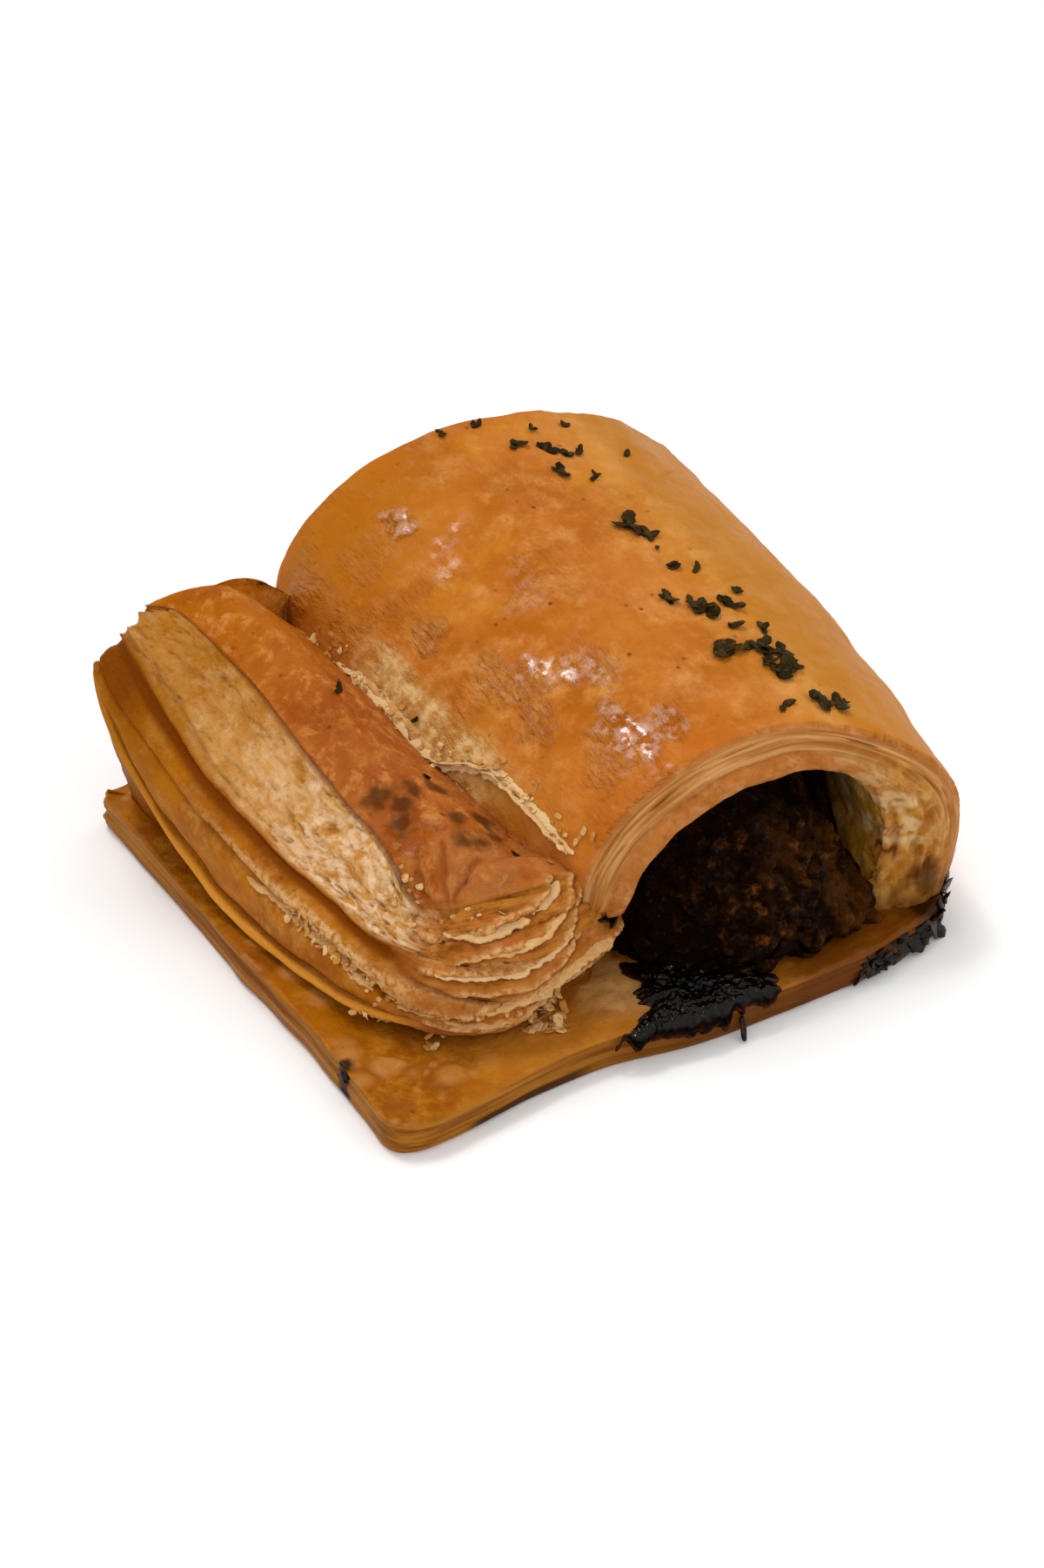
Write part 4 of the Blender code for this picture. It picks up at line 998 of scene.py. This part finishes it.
flap_finish, tree, shader, place = finish("browned flap", 0.42, 0.0, 0.15)
brown = use(tree, browning, {"Place": place, "Patch": 85.0, "Deep": (0.28, 0.056, 0.004), "Middle": (0.36, 0.088, 0.010),
                             "Pale": (0.48, 0.17, 0.032), "Specks": 0.9})
orange = use(tree, browning, {"Place": place, "Patch": 70.0, "Deep": (0.33, 0.075, 0.001), "Middle": (0.42, 0.12, 0.003),
                              "Pale": (0.50, 0.17, 0.02), "Specks": 0.4})
lines = use(tree, layer_lines, {"Lay": node(tree, "ShaderNodeAttribute", attribute_name="lay").outputs["Vector"],
                                "Layer": 620.0})
skin_tone = tint(tree, mark(tree, "back_bake"), brown.outputs["Color"], orange.outputs["Color"])
streak = fade(tree, grain(tree, place, 5.0, 6.0, 0.68, 0.2), 0.50, 0.66)
skin_tone = tint(tree, sums(tree, "MULTIPLY", streak, 0.55), skin_tone, (0.27, 0.055, 0.006))
blush = fade(tree, grain(tree, place, 3.0, 6.0, 0.68, 0.2), 0.50, 0.66)
skin_tone = tint(tree, sums(tree, "MULTIPLY", blush, 0.6), skin_tone, (0.60, 0.25, 0.06))
skin_tone = tint(tree, sums(tree, "MULTIPLY", mark(tree, "fair"), 0.6), skin_tone, (0.41, 0.145, 0.036))
# Painted shade in the pinch creases.
skin_tone = tint(tree, sums(tree, "MULTIPLY", mark(tree, "crease_shade"), 0.6), skin_tone, (0.24, 0.045, 0.005))
skin_tone = tint(tree, sums(tree, "MULTIPLY", mark(tree, "burnt"), 0.85), skin_tone, (0.07, 0.018, 0.003))
crumb = use(tree, browning, {"Place": place, "Patch": 130.0, "Deep": (0.44, 0.165, 0.018), "Middle": (0.62, 0.31, 0.085),
                             "Pale": (0.76, 0.51, 0.25), "Specks": 0.4})
sheet = use(tree, browning, {"Place": place, "Patch": 100.0, "Deep": (0.29, 0.072, 0.002), "Middle": (0.42, 0.135, 0.005),
                             "Pale": (0.54, 0.24, 0.05), "Specks": 0.5})
shells = use(tree, browning, {"Place": place, "Patch": 120.0, "Deep": (0.31, 0.075, 0.008), "Middle": (0.42, 0.128, 0.020),
                              "Pale": (0.54, 0.22, 0.06), "Specks": 0.6})
ribs = node(tree, "ShaderNodeMapping", {"Vector": node(tree, "ShaderNodeAttribute", attribute_name="lay").outputs["Vector"],
                                        "Scale": (0.3, 1.0, 1.0)}).outputs[0]
cream = fade(tree, grain(tree, ribs, 1.2, 5.0, 0.65, 0.8), 0.40, 0.62)
crumb_tone = tint(tree, sums(tree, "MULTIPLY", mark(tree, "crumbly"), cream), crumb.outputs["Color"], (0.84, 0.60, 0.37))
inside = tint(tree, mark(tree, "face"), sheet.outputs["Color"], crumb_tone)
inside = tint(tree, mark(tree, "nose"), inside, shells.outputs["Color"])
streaky = sums(tree, "MULTIPLY", lines.outputs["Lines"], sums(tree, "ADD", mark(tree, "face"), mark(tree, "nose")))
inside = tint(tree, sums(tree, "MULTIPLY", streaky, 0.35), inside, (0.48, 0.19, 0.02))
# Painted shade in the pits.
inside = tint(tree, sums(tree, "MULTIPLY", mark(tree, "pit_shade"), 0.7), inside, (0.42, 0.15, 0.012))
flecks = fade(tree, grain(tree, place, 0.9, 4.0), 0.35, 0.60)
inside = tint(tree, sums(tree, "MULTIPLY", mark(tree, "crisp"), flecks), inside, (0.66, 0.38, 0.15))
inside = tint(tree, sums(tree, "MULTIPLY", mark(tree, "bright"), 0.9), inside, (0.68, 0.27, 0.030))
inside = tint(tree, sums(tree, "MULTIPLY", mark(tree, "back_bake"), 0.60), inside, (0.36, 0.12, 0.001))
# The groove's brown and the pinched layer ends, with painted shade in the notches and under the overhangs.
inside = tint(tree, sums(tree, "MULTIPLY", mark(tree, "dark"), 0.95), inside, (0.17, 0.034, 0.0))
colour = tint(tree, mark(tree, "skin"), inside, skin_tone)
# Darker skin edge, with painted shade under it.
colour = tint(tree, sums(tree, "MULTIPLY", mark(tree, "edge"), 0.8), colour, (0.20, 0.04, 0.002))
tree.links.new(colour, shader.inputs["Base Color"])
wet = sums(tree, "MULTIPLY", mark(tree, "glaze"), fade(tree, grain(tree, place, 2.0, 3.0), 0.42, 0.60))
rough = node(tree, "ShaderNodeMapRange", {0: wet, 1: 0.0, 2: 1.0, 3: 0.50, 4: 0.20})
tree.links.new(rough.outputs[0], shader.inputs["Roughness"])
tree.links.new(sums(tree, "MULTIPLY", wet, 0.6), shader.inputs["Coat Weight"])
ripple = sums(tree, "MULTIPLY", grain(tree, place, 1.0, 3.0, 0.5, 0.5), sums(tree, "ADD", mark(tree, "glaze"), 0.5))
rest = sums(tree, "SUBTRACT", 1.0, mark(tree, "skin"))
bump(tree, shader, [(ripple, 1.4), (grain(tree, place, 2.5, 4.0), 0.9),
                    (sums(tree, "MULTIPLY", lines.outputs["Height"], rest), 1.3),
                    (sums(tree, "MULTIPLY", grain(tree, place, 0.5, 5.0), rest), 0.6)], 0.0004)
flap.data.materials.append(flap_finish)
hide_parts("pastry")
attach(flap, "root")

# ------------------------------------------------------------------------------------------------
# Torn edges: the thin pale strips of dough left where layers tore apart. One lies along the valley
# between the flap and the dome, others curl off the nose like petals, and crumbs cling beside them.

RING = np.linspace(0.0, 2 * pi, 9)[:-1]


def strip(path, width, thickness, up, seed, ragged=0.5, end_width=0.1):
    """A thin closed strip along the path, lying flat across up, with ragged sides: corners and faces."""
    path = np.array(path, float)
    reach = np.concatenate([[0.0], np.cumsum(np.linalg.norm(np.diff(path, axis=0), axis=1))])
    steps = max(6, int(reach[-1] / 0.35))
    at = np.linspace(0.0, reach[-1], steps)
    smoothing = reach[-1] / len(path) * 0.35
    line = np.stack([np.mean([np.interp(at + d, reach, path[:, k]) for d in np.linspace(-smoothing, smoothing, 5)],
                             axis=0) for k in range(3)], 1)
    ahead = np.gradient(line, axis=0)
    ahead /= np.linalg.norm(ahead, axis=1)[:, None]
    up = np.broadcast_to(np.array(up, float), line.shape)
    across = np.cross(ahead, up)
    across /= np.linalg.norm(across, axis=1)[:, None]
    over = np.cross(across, ahead)
    taper = np.maximum(np.sqrt(np.clip(1 - (2 * at / reach[-1] - 1) ** 4, 0, 1)), end_width)
    spots = np.column_stack([at, 0 * at, 0 * at + seed * 7.3])
    corners = []
    for turn in RING:
        side = width / 2 * cos(turn) * taper * (1 + ragged * swells(spots + [0, 5 * np.sign(cos(turn)), 0], 1.1, seed, 3))
        rise = thickness / 2 * sin(turn) * taper * (1 + 0.4 * swells(spots + [0, 11 * sin(turn), 0], 0.8, seed + 3, 2))
        sag = 0.25 * swells(spots, 2.4, seed + 5, 2)
        corners.append(line + across * side[:, None] + over * (rise + sag)[:, None])
    corners = np.stack(corners, 1).reshape(-1, 3)
    n = len(RING)
    faces = [(i * n + k, i * n + (k + 1) % n, (i + 1) * n + (k + 1) % n, (i + 1) * n + k)
             for i in range(steps - 1) for k in range(n)]
    faces += [tuple(range(n - 1, -1, -1)), tuple((steps - 1) * n + k for k in range(n))]
    return corners, faces


def gathered(name, parts):
    """One piece made of many small closed shapes, each noted with its own random tone."""
    corners, faces, tones, start = [], [], [], 0
    for i, (points, sides) in enumerate(parts):
        corners.append(points)
        faces += [tuple(start + k for k in side) for side in sides]
        tones.append(np.full(len(points), chance(np.array([i]), np.array([3]), np.array([7]), len(name))[0]))
        start += len(points)
    mesh = bpy.data.meshes.new(name)
    corners = np.concatenate(corners)
    corners[:, 2] = np.maximum(corners[:, 2], 0.03)
    points = (corners + SHEET_MIDDLE) * MM
    mesh.from_pydata(points.tolist(), [], faces)
    piece = bpy.data.objects.new(name, mesh)
    bpy.context.collection.objects.link(piece)
    note(piece, "tone", np.concatenate(tones))
    bpy.ops.object.select_all(action="DESELECT")
    bpy.context.view_layer.objects.active = piece
    bpy.ops.object.mode_set(mode="EDIT")
    bpy.ops.mesh.select_all(action="SELECT")
    bpy.ops.mesh.normals_make_consistent(inside=False)
    bpy.ops.object.mode_set(mode="OBJECT")
    bpy.ops.object.select_all(action="DESELECT")
    piece.select_set(True)
    bpy.ops.object.shade_smooth()
    return piece


def resting(place, pieces):
    """The nearest spot to place on any of the pieces, in sheet millimetres, and its facing."""
    target = Vector((np.array(place, float) + SHEET_MIDDLE) * MM)
    best = None
    for piece in pieces:
        found, spot, facing, _ = piece.closest_point_on_mesh(target)
        if best is None or (spot - target).length < best[0]:
            best = ((spot - target).length, spot, facing)
    return np.array(best[1]) / MM - SHEET_MIDDLE, np.array(best[2])


def flake(spot, facing, length, width, thickness, turn, curl, seed, ragged=0.6, tilt=0.0):
    """A small curled flake lying at spot: turn is its direction, curl how far its ends lift."""
    facing = facing / np.linalg.norm(facing)
    level = np.cross(facing, [0.3, 0.9, 0.1])
    level /= np.linalg.norm(level)
    other = np.cross(facing, level)
    ahead = level * cos(turn) + other * sin(turn) + facing * tilt
    sideways = np.cross(facing, ahead)
    at = np.linspace(-1.0, 1.0, 7)
    bend = 0.25 * length * sin(seed * 1.7)
    path = [spot + ahead * (length / 2 * a) + sideways * bend * a * a + facing * (curl * a * a + thickness * 0.5) for a in at]
    return strip(path, width, thickness, facing + 0.25 * sideways * cos(seed * 2.3), seed, ragged)


def landed(place, way, pieces):
    """Where a scrap coming along way onto the pieces at place comes to rest, and the facing there."""
    way = Vector(way).normalized()
    start = Vector((np.array(place, float) + SHEET_MIDDLE) * MM) - way * 0.06
    best = None
    for piece in pieces:
        found, spot, facing, _ = piece.ray_cast(start, way)
        if found and (best is None or (spot - start).length < best[0]):
            best = ((spot - start).length, spot, facing)
    if best is None:
        return resting(place, pieces)
    return np.array(best[1]) / MM - SHEET_MIDDLE, np.array(best[2])


DOWN, INTO_NOSE, INTO_SIDE = (0, 0, -1), (0.1, 1, -0.15), (1, 0.25, -0.3)
VALLEY_STRIP = [(-17.3, 31), (-17.5, 24), (-17.2, 18), (-16.9, 12), (-16.6, 6), (-15.8, 1), (-14.6, -3), (-12.8, -6.4),
                (-11.0, -11.5), (-10.2, -17), (-9.2, -23.4), (-8.4, -28)]
laid = []
for x, y in VALLEY_STRIP:
    spot, facing = landed((x, y, 30), DOWN, [crust, flap])
    laid.append(spot + [0, 0, 0.45])
parts = [strip(laid[1:], 2.3, 0.5, (-0.55, 0.0, 0.83), 1, 0.9),
         strip([q + [0.8, 0.2, 0.7] for q in laid[2:9]], 1.3, 0.35, (-0.6, 0.0, 0.8), 2, 1.0),
         strip([q + [-0.9, 0.2, 0.5] for q in laid[5:]], 1.2, 0.35, (0.3, 0.0, 0.9), 3, 1.0)]
LEDGES = [  # thin torn layers standing out of the nose like shelves: path, how wide, thickness
    ([(-30, -28, 21.6), (-25, -31, 22.2), (-20, -32, 22.8), (-15, -32, 23.8), (-12, -32, 25.6)], 2.0, 0.40),
    ([(-28, -33, 11.6), (-24, -34, 11.9), (-20, -34, 12.3), (-15, -33, 13.2), (-10, -32, 14.0), (-5, -30, 14.6)], 2.6, 0.45),
    ([(-33, -27, 17.2), (-28, -31, 16.9), (-22, -33, 16.5), (-16, -33, 17.4), (-12, -32, 19.3)], 1.7, 0.35),
    ([(-37, -25, 10.8), (-33, -29, 10.4), (-28, -33, 9.0), (-22, -35, 9.2), (-15, -33, 10.4), (-8, -32, 11.4)], 1.7, 0.40),
    ([(-27, -31, 19.6), (-22, -33, 19.9), (-17, -33, 20.2), (-12.5, -32, 22.0)], 1.5, 0.35),
]
for i, (path, width, thickness) in enumerate(LEDGES):
    seated = [landed(place, INTO_NOSE, [flap])[0] for place in path]
    parts.append(strip(seated, width, thickness, (0.05, -0.45, 0.89), 20 + i, 0.8))
LEAF_EDGE = [(-44.4, 4, 16.4), (-43.4, -3, 16.2), (-42.4, -9, 16.0), (-40.8, -15, 15.2), (-39.4, -19.5, 13.6),
             (-37.8, -23.5, 11.6)]
seated = [landed(place, INTO_SIDE, [flap])[0] for place in LEAF_EDGE]
parts.append(strip(seated, 1.6, 0.35, (-0.35, -0.1, 0.93), 41, 1.0))
torn = gathered("torn_edges", parts)

tear_finish, tree, shader, place = finish("torn pale dough", 0.5)
dough = use(tree, browning, {"Place": place, "Patch": 260.0, "Deep": (0.46, 0.17, 0.02), "Middle": (0.60, 0.29, 0.08),
                             "Pale": (0.72, 0.46, 0.20), "Specks": 0.3})
paler = tint(tree, sums(tree, "MULTIPLY", mark(tree, "tone"), 0.8), dough.outputs["Color"], (0.78, 0.55, 0.28))
tree.links.new(paler, shader.inputs["Base Color"])
bump(tree, shader, [(grain(tree, place, 0.7, 5.0), 1.0)], 0.0004)
torn.data.materials.append(tear_finish)
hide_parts("pastry")
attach(torn, "root")

dice = np.random.RandomState(5)
LINES_OF_CRUMBS = [  # path, how many, size, how far they stray
    ([(x, y, 30) for x, y in VALLEY_STRIP], 120, 1.2, 0.9),
    ([(-28, -34.2, 11.5), (-20, -35.4, 11.4), (-14, -33.8, 12.8), (-7, -31.4, 13.0), (-3, -29.8, 13.5)], 70, 1.5, 0.7),
    ([(-43.2, -6, 16.5), (-42, -12, 16.0), (-40.4, -18, 14.8), (-38.4, -22.8, 12.0)], 60, 1.3, 0.6),
    ([(-38, -24, 10.6), (-33, -30, 10.2), (-26, -34.4, 9.8), (-21, -35.6, 9.6)], 45, 1.1, 0.6),
    ([(-31.3, -16, 26), (-31, -20, 22.5), (-28.5, -26, 22), (-22, -30, 23)], 40, 1.0, 1.0),
    ([(-20.5, -36, 6.6), (-16.5, -35.5, 6.6), (-14.5, -33.5, 6.8)], 34, 2.0, 1.2),
    ([(-34, -31, 6.2), (-33, -31.8, 6.0)], 9, 1.4, 0.5),
    ([(-41, -21.5, 7.5), (-38, -25.5, 7.2)], 12, 1.3, 0.6),
    ([(4, -32, 28.0), (10, -33, 30.6), (17, -33, 32.0)], 26, 1.1, 0.35),
]
parts = []
for line, count, size, stray in LINES_OF_CRUMBS:
    line = np.array(line, float)
    for _ in range(count):
        at = dice.uniform(0, len(line) - 1.001)
        k = int(at)
        place = mix(line[k], line[k + 1], at - k) + dice.normal(0, stray, 3)
        if place[1] > -26 and place[0] > -20:
            spot, facing = landed(place, DOWN, [flap, crust, torn])
        else:
            spot, facing = resting(place, [flap, crust, base, torn])
        length = size * dice.uniform(0.4, 1.3)
        parts.append(flake(spot, facing, length, length * dice.uniform(0.5, 0.95), 0.06 * length + 0.1, dice.uniform(0, 6.3),
                           0.15 * length * dice.uniform(0, 1.5), dice.randint(1, 90), 0.9, dice.uniform(0, 0.8)))
crumbs = gathered("crumbs", parts)
crumb_finish, tree, shader, place = finish("pastry crumbs", 0.5)
flaky = tint(tree, mark(tree, "tone"), (0.50, 0.21, 0.035), (0.74, 0.49, 0.22))
flaky = tint(tree, fade(tree, grain(tree, place, 0.8, 4.0), 0.45, 0.7), flaky, (0.50, 0.20, 0.03))
tree.links.new(flaky, shader.inputs["Base Color"])
bump(tree, shader, [(grain(tree, place, 0.4, 3.0), 1.0)], 0.0002)
crumbs.data.materials.append(crumb_finish)
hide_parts("pastry")
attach(crumbs, "root")


# ------------------------------------------------------------------------------------------------
# The burnt juice: meat juice that ran out over the base sheet's front edge and down to the tray, and
# baked to a black, crinkled, shining crust with dark red margins. It is poured as a round puddle.

JUICE_PLAN = [(-0.6, -29.5), (4, -31), (9, -35.5), (13, -40.5), (15.8, -44.0), (14, -46.7), (9.5, -47.3), (3, -46.8),
              (-3, -45.8), (-8.5, -44.6), (-7.6, -42.4), (-4.0, -40), (-4.6, -37), (-1.2, -34.6), (-3, -31.6)]
JUICE_MIDDLE = np.array([4.5, -40.5])
JUICE_AROUND, JUICE_ROWS = 360, 90
EDGE_AT = [(-14, -42.6), (-8, -43.6), (2, -45.3), (18, -45.7)]

puddle, u, row = rolled_out("burnt_juice", JUICE_AROUND, JUICE_ROWS * 2)
underneath = row < JUICE_ROWS
out = np.where(underneath, row / (JUICE_ROWS - 1), (2 * JUICE_ROWS - 1 - row) / (JUICE_ROWS - 1))
edge = closed_curve(JUICE_PLAN, u)
fringe = swells(np.column_stack([edge, 0 * u]), 2.6, 101, 3)
edge = JUICE_MIDDLE + (edge - JUICE_MIDDLE) * (1 + 0.20 * fringe + 0.06 * swells(np.column_stack([edge, 0 * u]), 1.1, 100, 2))[:, None]
flat = JUICE_MIDDLE + (edge - JUICE_MIDDLE) * out[:, None]
edge_x, edge_y = np.array(EDGE_AT, float).T
lip_y = np.interp(flat[:, 0], edge_x, edge_y)
over = np.maximum(lip_y + 0.4 - flat[:, 1], 0.0)
over *= np.clip(0.65 + 0.9 * swells(np.column_stack([flat[:, 0], 0 * u, 0 * u]), 2.4, 106, 2), 0.15, 1.2)
y = np.maximum(flat[:, 1], lip_y - 0.2 - 0.45 * np.minimum(over, 2.0))
support = np.maximum(SHEET + 0.1 - 2.1 * np.maximum(over - 0.3, 0.0), 0.5)
skin_of = 1.1 * (1 - out ** 4)
z = support + np.where(underneath, -0.5, skin_of)
y = np.where(underneath, y + 0.5 * between(over, 0.2, 0.8), y - skin_of * 0.7 * between(over, 0.2, 1.0))
mould(puddle, np.column_stack([flat[:, 0], y, np.maximum(z, 0.05)]), out=out)
p, facing = surface(puddle)
out = noted(puddle, "out")
bent = p + 1.2 * np.column_stack([swells(p, 2.4, 105 + k, 2) for k in range(3)])
folds = 1 - 2 * np.abs(swells(bent, (1.5, 2.2, 1.5), 102, 2))
small_folds = 1 - 2 * np.abs(swells(bent, 0.75, 103, 2))
lift = (0.42 * folds + 0.20 * small_folds + 0.45 * swells(p, 4.0, 104, 2)) * (1 - out ** 6)
raise_by(puddle, lift)
note(puddle, "margin", between(out, 0.90, 1.0))
note(puddle, "flat", between(facing[:, 2], 0.15, 0.6))

juice_finish, tree, shader, place = finish("burnt juice", 0.16, 0.7, 0.05, 0.05)
tar = tint(tree, fade(tree, grain(tree, place, 2.2, 4.0), 0.45, 0.68), (0.0015, 0.0009, 0.0008), (0.010, 0.003, 0.0015))
tar = tint(tree, sums(tree, "MULTIPLY", mark(tree, "margin"), fade(tree, grain(tree, place, 1.5, 4.0), 0.35, 0.6)), tar,
           (0.085, 0.016, 0.003))
tree.links.new(tar, shader.inputs["Base Color"])
rough = node(tree, "ShaderNodeMapRange", {0: grain(tree, place, 1.1, 3.0), 1: 0.40, 2: 0.62, 3: 0.08, 4: 0.26})
tree.links.new(rough.outputs[0], shader.inputs["Roughness"])
tree.links.new(sums(tree, "MULTIPLY", mark(tree, "flat"), 0.38), shader.inputs["Coat Weight"])
bump(tree, shader, [(grain(tree, place, 0.9, 4.0, 0.6, 0.9), 1.0)], 0.0016)
puddle.data.materials.append(juice_finish)
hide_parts("pastry")
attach(puddle, "root")

CHARRED = [(46.6, -36.5, 6.5), (46.8, -38.2, 5.0), (46.0, -40.4, 4.0), (45.0, -41.8, 3.2), (43.0, -42.8, 3.0),
           (39.5, -44.0, 2.6), (36.0, -44.8, 2.4), (33.0, -45.2, 2.2), (30.5, -45.4, 2.0)]
parts = []
for i in range(60):
    at = dice.uniform(0, len(CHARRED) - 1.001)
    k = int(at)
    place = mix(np.array(CHARRED[k]), np.array(CHARRED[k + 1]), at - k) + dice.normal(0, 0.8, 3)
    spot, facing = resting(place, [base, crust])
    length = dice.uniform(1.4, 3.4)
    parts.append(flake(spot, facing, length, length * dice.uniform(0.6, 1.1), 0.25 + 0.06 * length, dice.uniform(0, 6.3),
                       0.12 * length * dice.uniform(-0.4, 0.5), dice.randint(1, 90), 1.0, dice.uniform(0.0, 0.5)))
for place, length, turn in [((-5.2, -32.0, 18.4), 4.0, 0.4), ((-4.6, -31.4, 17.2), 3.4, 1.6), ((-6.0, -31.6, 17.6), 3.0, 2.4),
                            ((-46.9, -28.5, 3.8), 1.6, 0.3), ((-46.6, -29.6, 4.6), 1.2, 1.0)]:
    spot, facing = resting(place, [base, crust, flap])
    parts.append(flake(spot, facing, length, length * 0.6, 0.6, turn, 0.2, int(10 * length), 1.0, 0.3))
parts.append(strip([(8.6, -45.6, 3.0), (8.2, -46.6, 1.6), (7.8, -47.4, 0.7), (7.4, -48.1, 0.5)], 1.0, 0.8, (0.2, -0.3, 1.0), 71, 0.5, 0.4))
char = gathered("charred_bits", parts)
char_finish, tree, shader, place = finish("charred pastry", 0.4, 0.3, 0.2)
blackened = tint(tree, fade(tree, grain(tree, place, 1.6, 4.0), 0.50, 0.72), (0.004, 0.0018, 0.001), (0.060, 0.018, 0.002))
tree.links.new(blackened, shader.inputs["Base Color"])
bump(tree, shader, [(grain(tree, place, 0.6, 4.0), 1.0)], 0.0004)
char.data.materials.append(char_finish)
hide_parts("pastry")
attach(char, "root")


# ------------------------------------------------------------------------------------------------
# The herbs: dried parsley baked on in a line down the dome, dark green going black. Each scrap is a
# cluster of small curled leaf fragments, set down where it landed on the crust.

HERBS = [  # place, length of the scrap, how many fragments
    (16.6, 41.1, 50.0, 1.6, 2), (19.4, 35.1, 48.8, 2.0, 2), (24.1, 37.8, 48.3, 1.8, 2), (23.5, 33.5, 47.9, 2.4, 3),
    (30.1, 38.1, 46.6, 1.6, 1), (28.4, 31.4, 46.4, 1.8, 2), (28.1, 26.2, 45.9, 2.0, 2), (22.9, 27.4, 47.2, 2.2, 2),
    (36.3, 30.9, 43.4, 1.4, 1), (26.2, 31.0, 47.0, 1.6, 2), (26.4, 14.9, 44.9, 3.6, 4), (28.1, 11.6, 44.1, 2.8, 3),
    (27.7, 8.5, 43.8, 1.4, 1), (27.8, 4.1, 43.1, 2.0, 2), (30.8, 2.8, 42.2, 1.6, 2), (22.8, -1.3, 43.2, 2.6, 3),
    (26.1, -4.4, 42.2, 3.0, 3), (30.6, -4.2, 41.3, 2.8, 3), (34.1, -2.5, 40.5, 1.8, 2), (27.6, -6.6, 41.6, 2.6, 3),
    (29.3, -10.0, 40.8, 2.0, 2), (33.1, -10.9, 39.6, 2.2, 2), (25.3, -13.8, 40.9, 3.4, 3), (30.6, -15.9, 39.6, 3.0, 3),
    (32.7, -17.4, 38.8, 3.0, 3), (28.9, -18.5, 39.5, 2.6, 3), (31.6, -20, 38.7, 2.8, 3), (33.1, -20.1, 38.2, 2.4, 2),
    (27.3, -26.7, 38.6, 2.0, 2), (32.2, -28.2, 37.2, 3.6, 4), (36.2, -27.9, 35.9, 1.6, 1), (10.5, 41.6, 50.0, 1.6, 2),
    (-24.0, 11.2, 36.6, 3.0, 1), (-14.3, -22.5, 27.3, 1.8, 1), (-15.6, 5.0, 31.8, 1.4, 1), (-19.6, -6.6, 31.8, 1.8, 1),
]
parts = []
for x, y, z, length, count in HERBS:
    spot, facing = resting((x, y, z), [crust, flap])
    level = np.cross(facing, [0, 1, 0])
    level /= np.linalg.norm(level)
    other = np.cross(facing, level)
    for i in range(count):
        stray = dice.normal(0, 0.32 * length, 2) if i else np.zeros(2)
        at, out_of = resting(spot + level * stray[0] + other * stray[1], [crust, flap])
        size = length * dice.uniform(0.8, 1.3)
        parts.append(flake(at + out_of * 0.1, out_of, size, size * dice.uniform(0.35, 0.6), 0.28, dice.uniform(0, 6.3),
                           0.16 * size * dice.uniform(0.2, 1.6), dice.randint(1, 90), 1.1, dice.uniform(-0.1, 0.35)))
herbs = gathered("herbs", parts)
herb_finish, tree, shader, place = finish("baked parsley", 0.55, 0.0, 0.2, 0.3)
leafy = tint(tree, mark(tree, "tone"), (0.007, 0.004, 0.001), (0.032, 0.020, 0.003))
leafy = tint(tree, fade(tree, grain(tree, place, 1.0, 4.0), 0.48, 0.70), leafy, (0.075, 0.040, 0.004))
tree.links.new(leafy, shader.inputs["Base Color"])
bump(tree, shader, [(grain(tree, place, 0.5, 3.0), 1.0)], 0.0003)
herbs.data.materials.append(herb_finish)
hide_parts("pastry")
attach(herbs, "root")
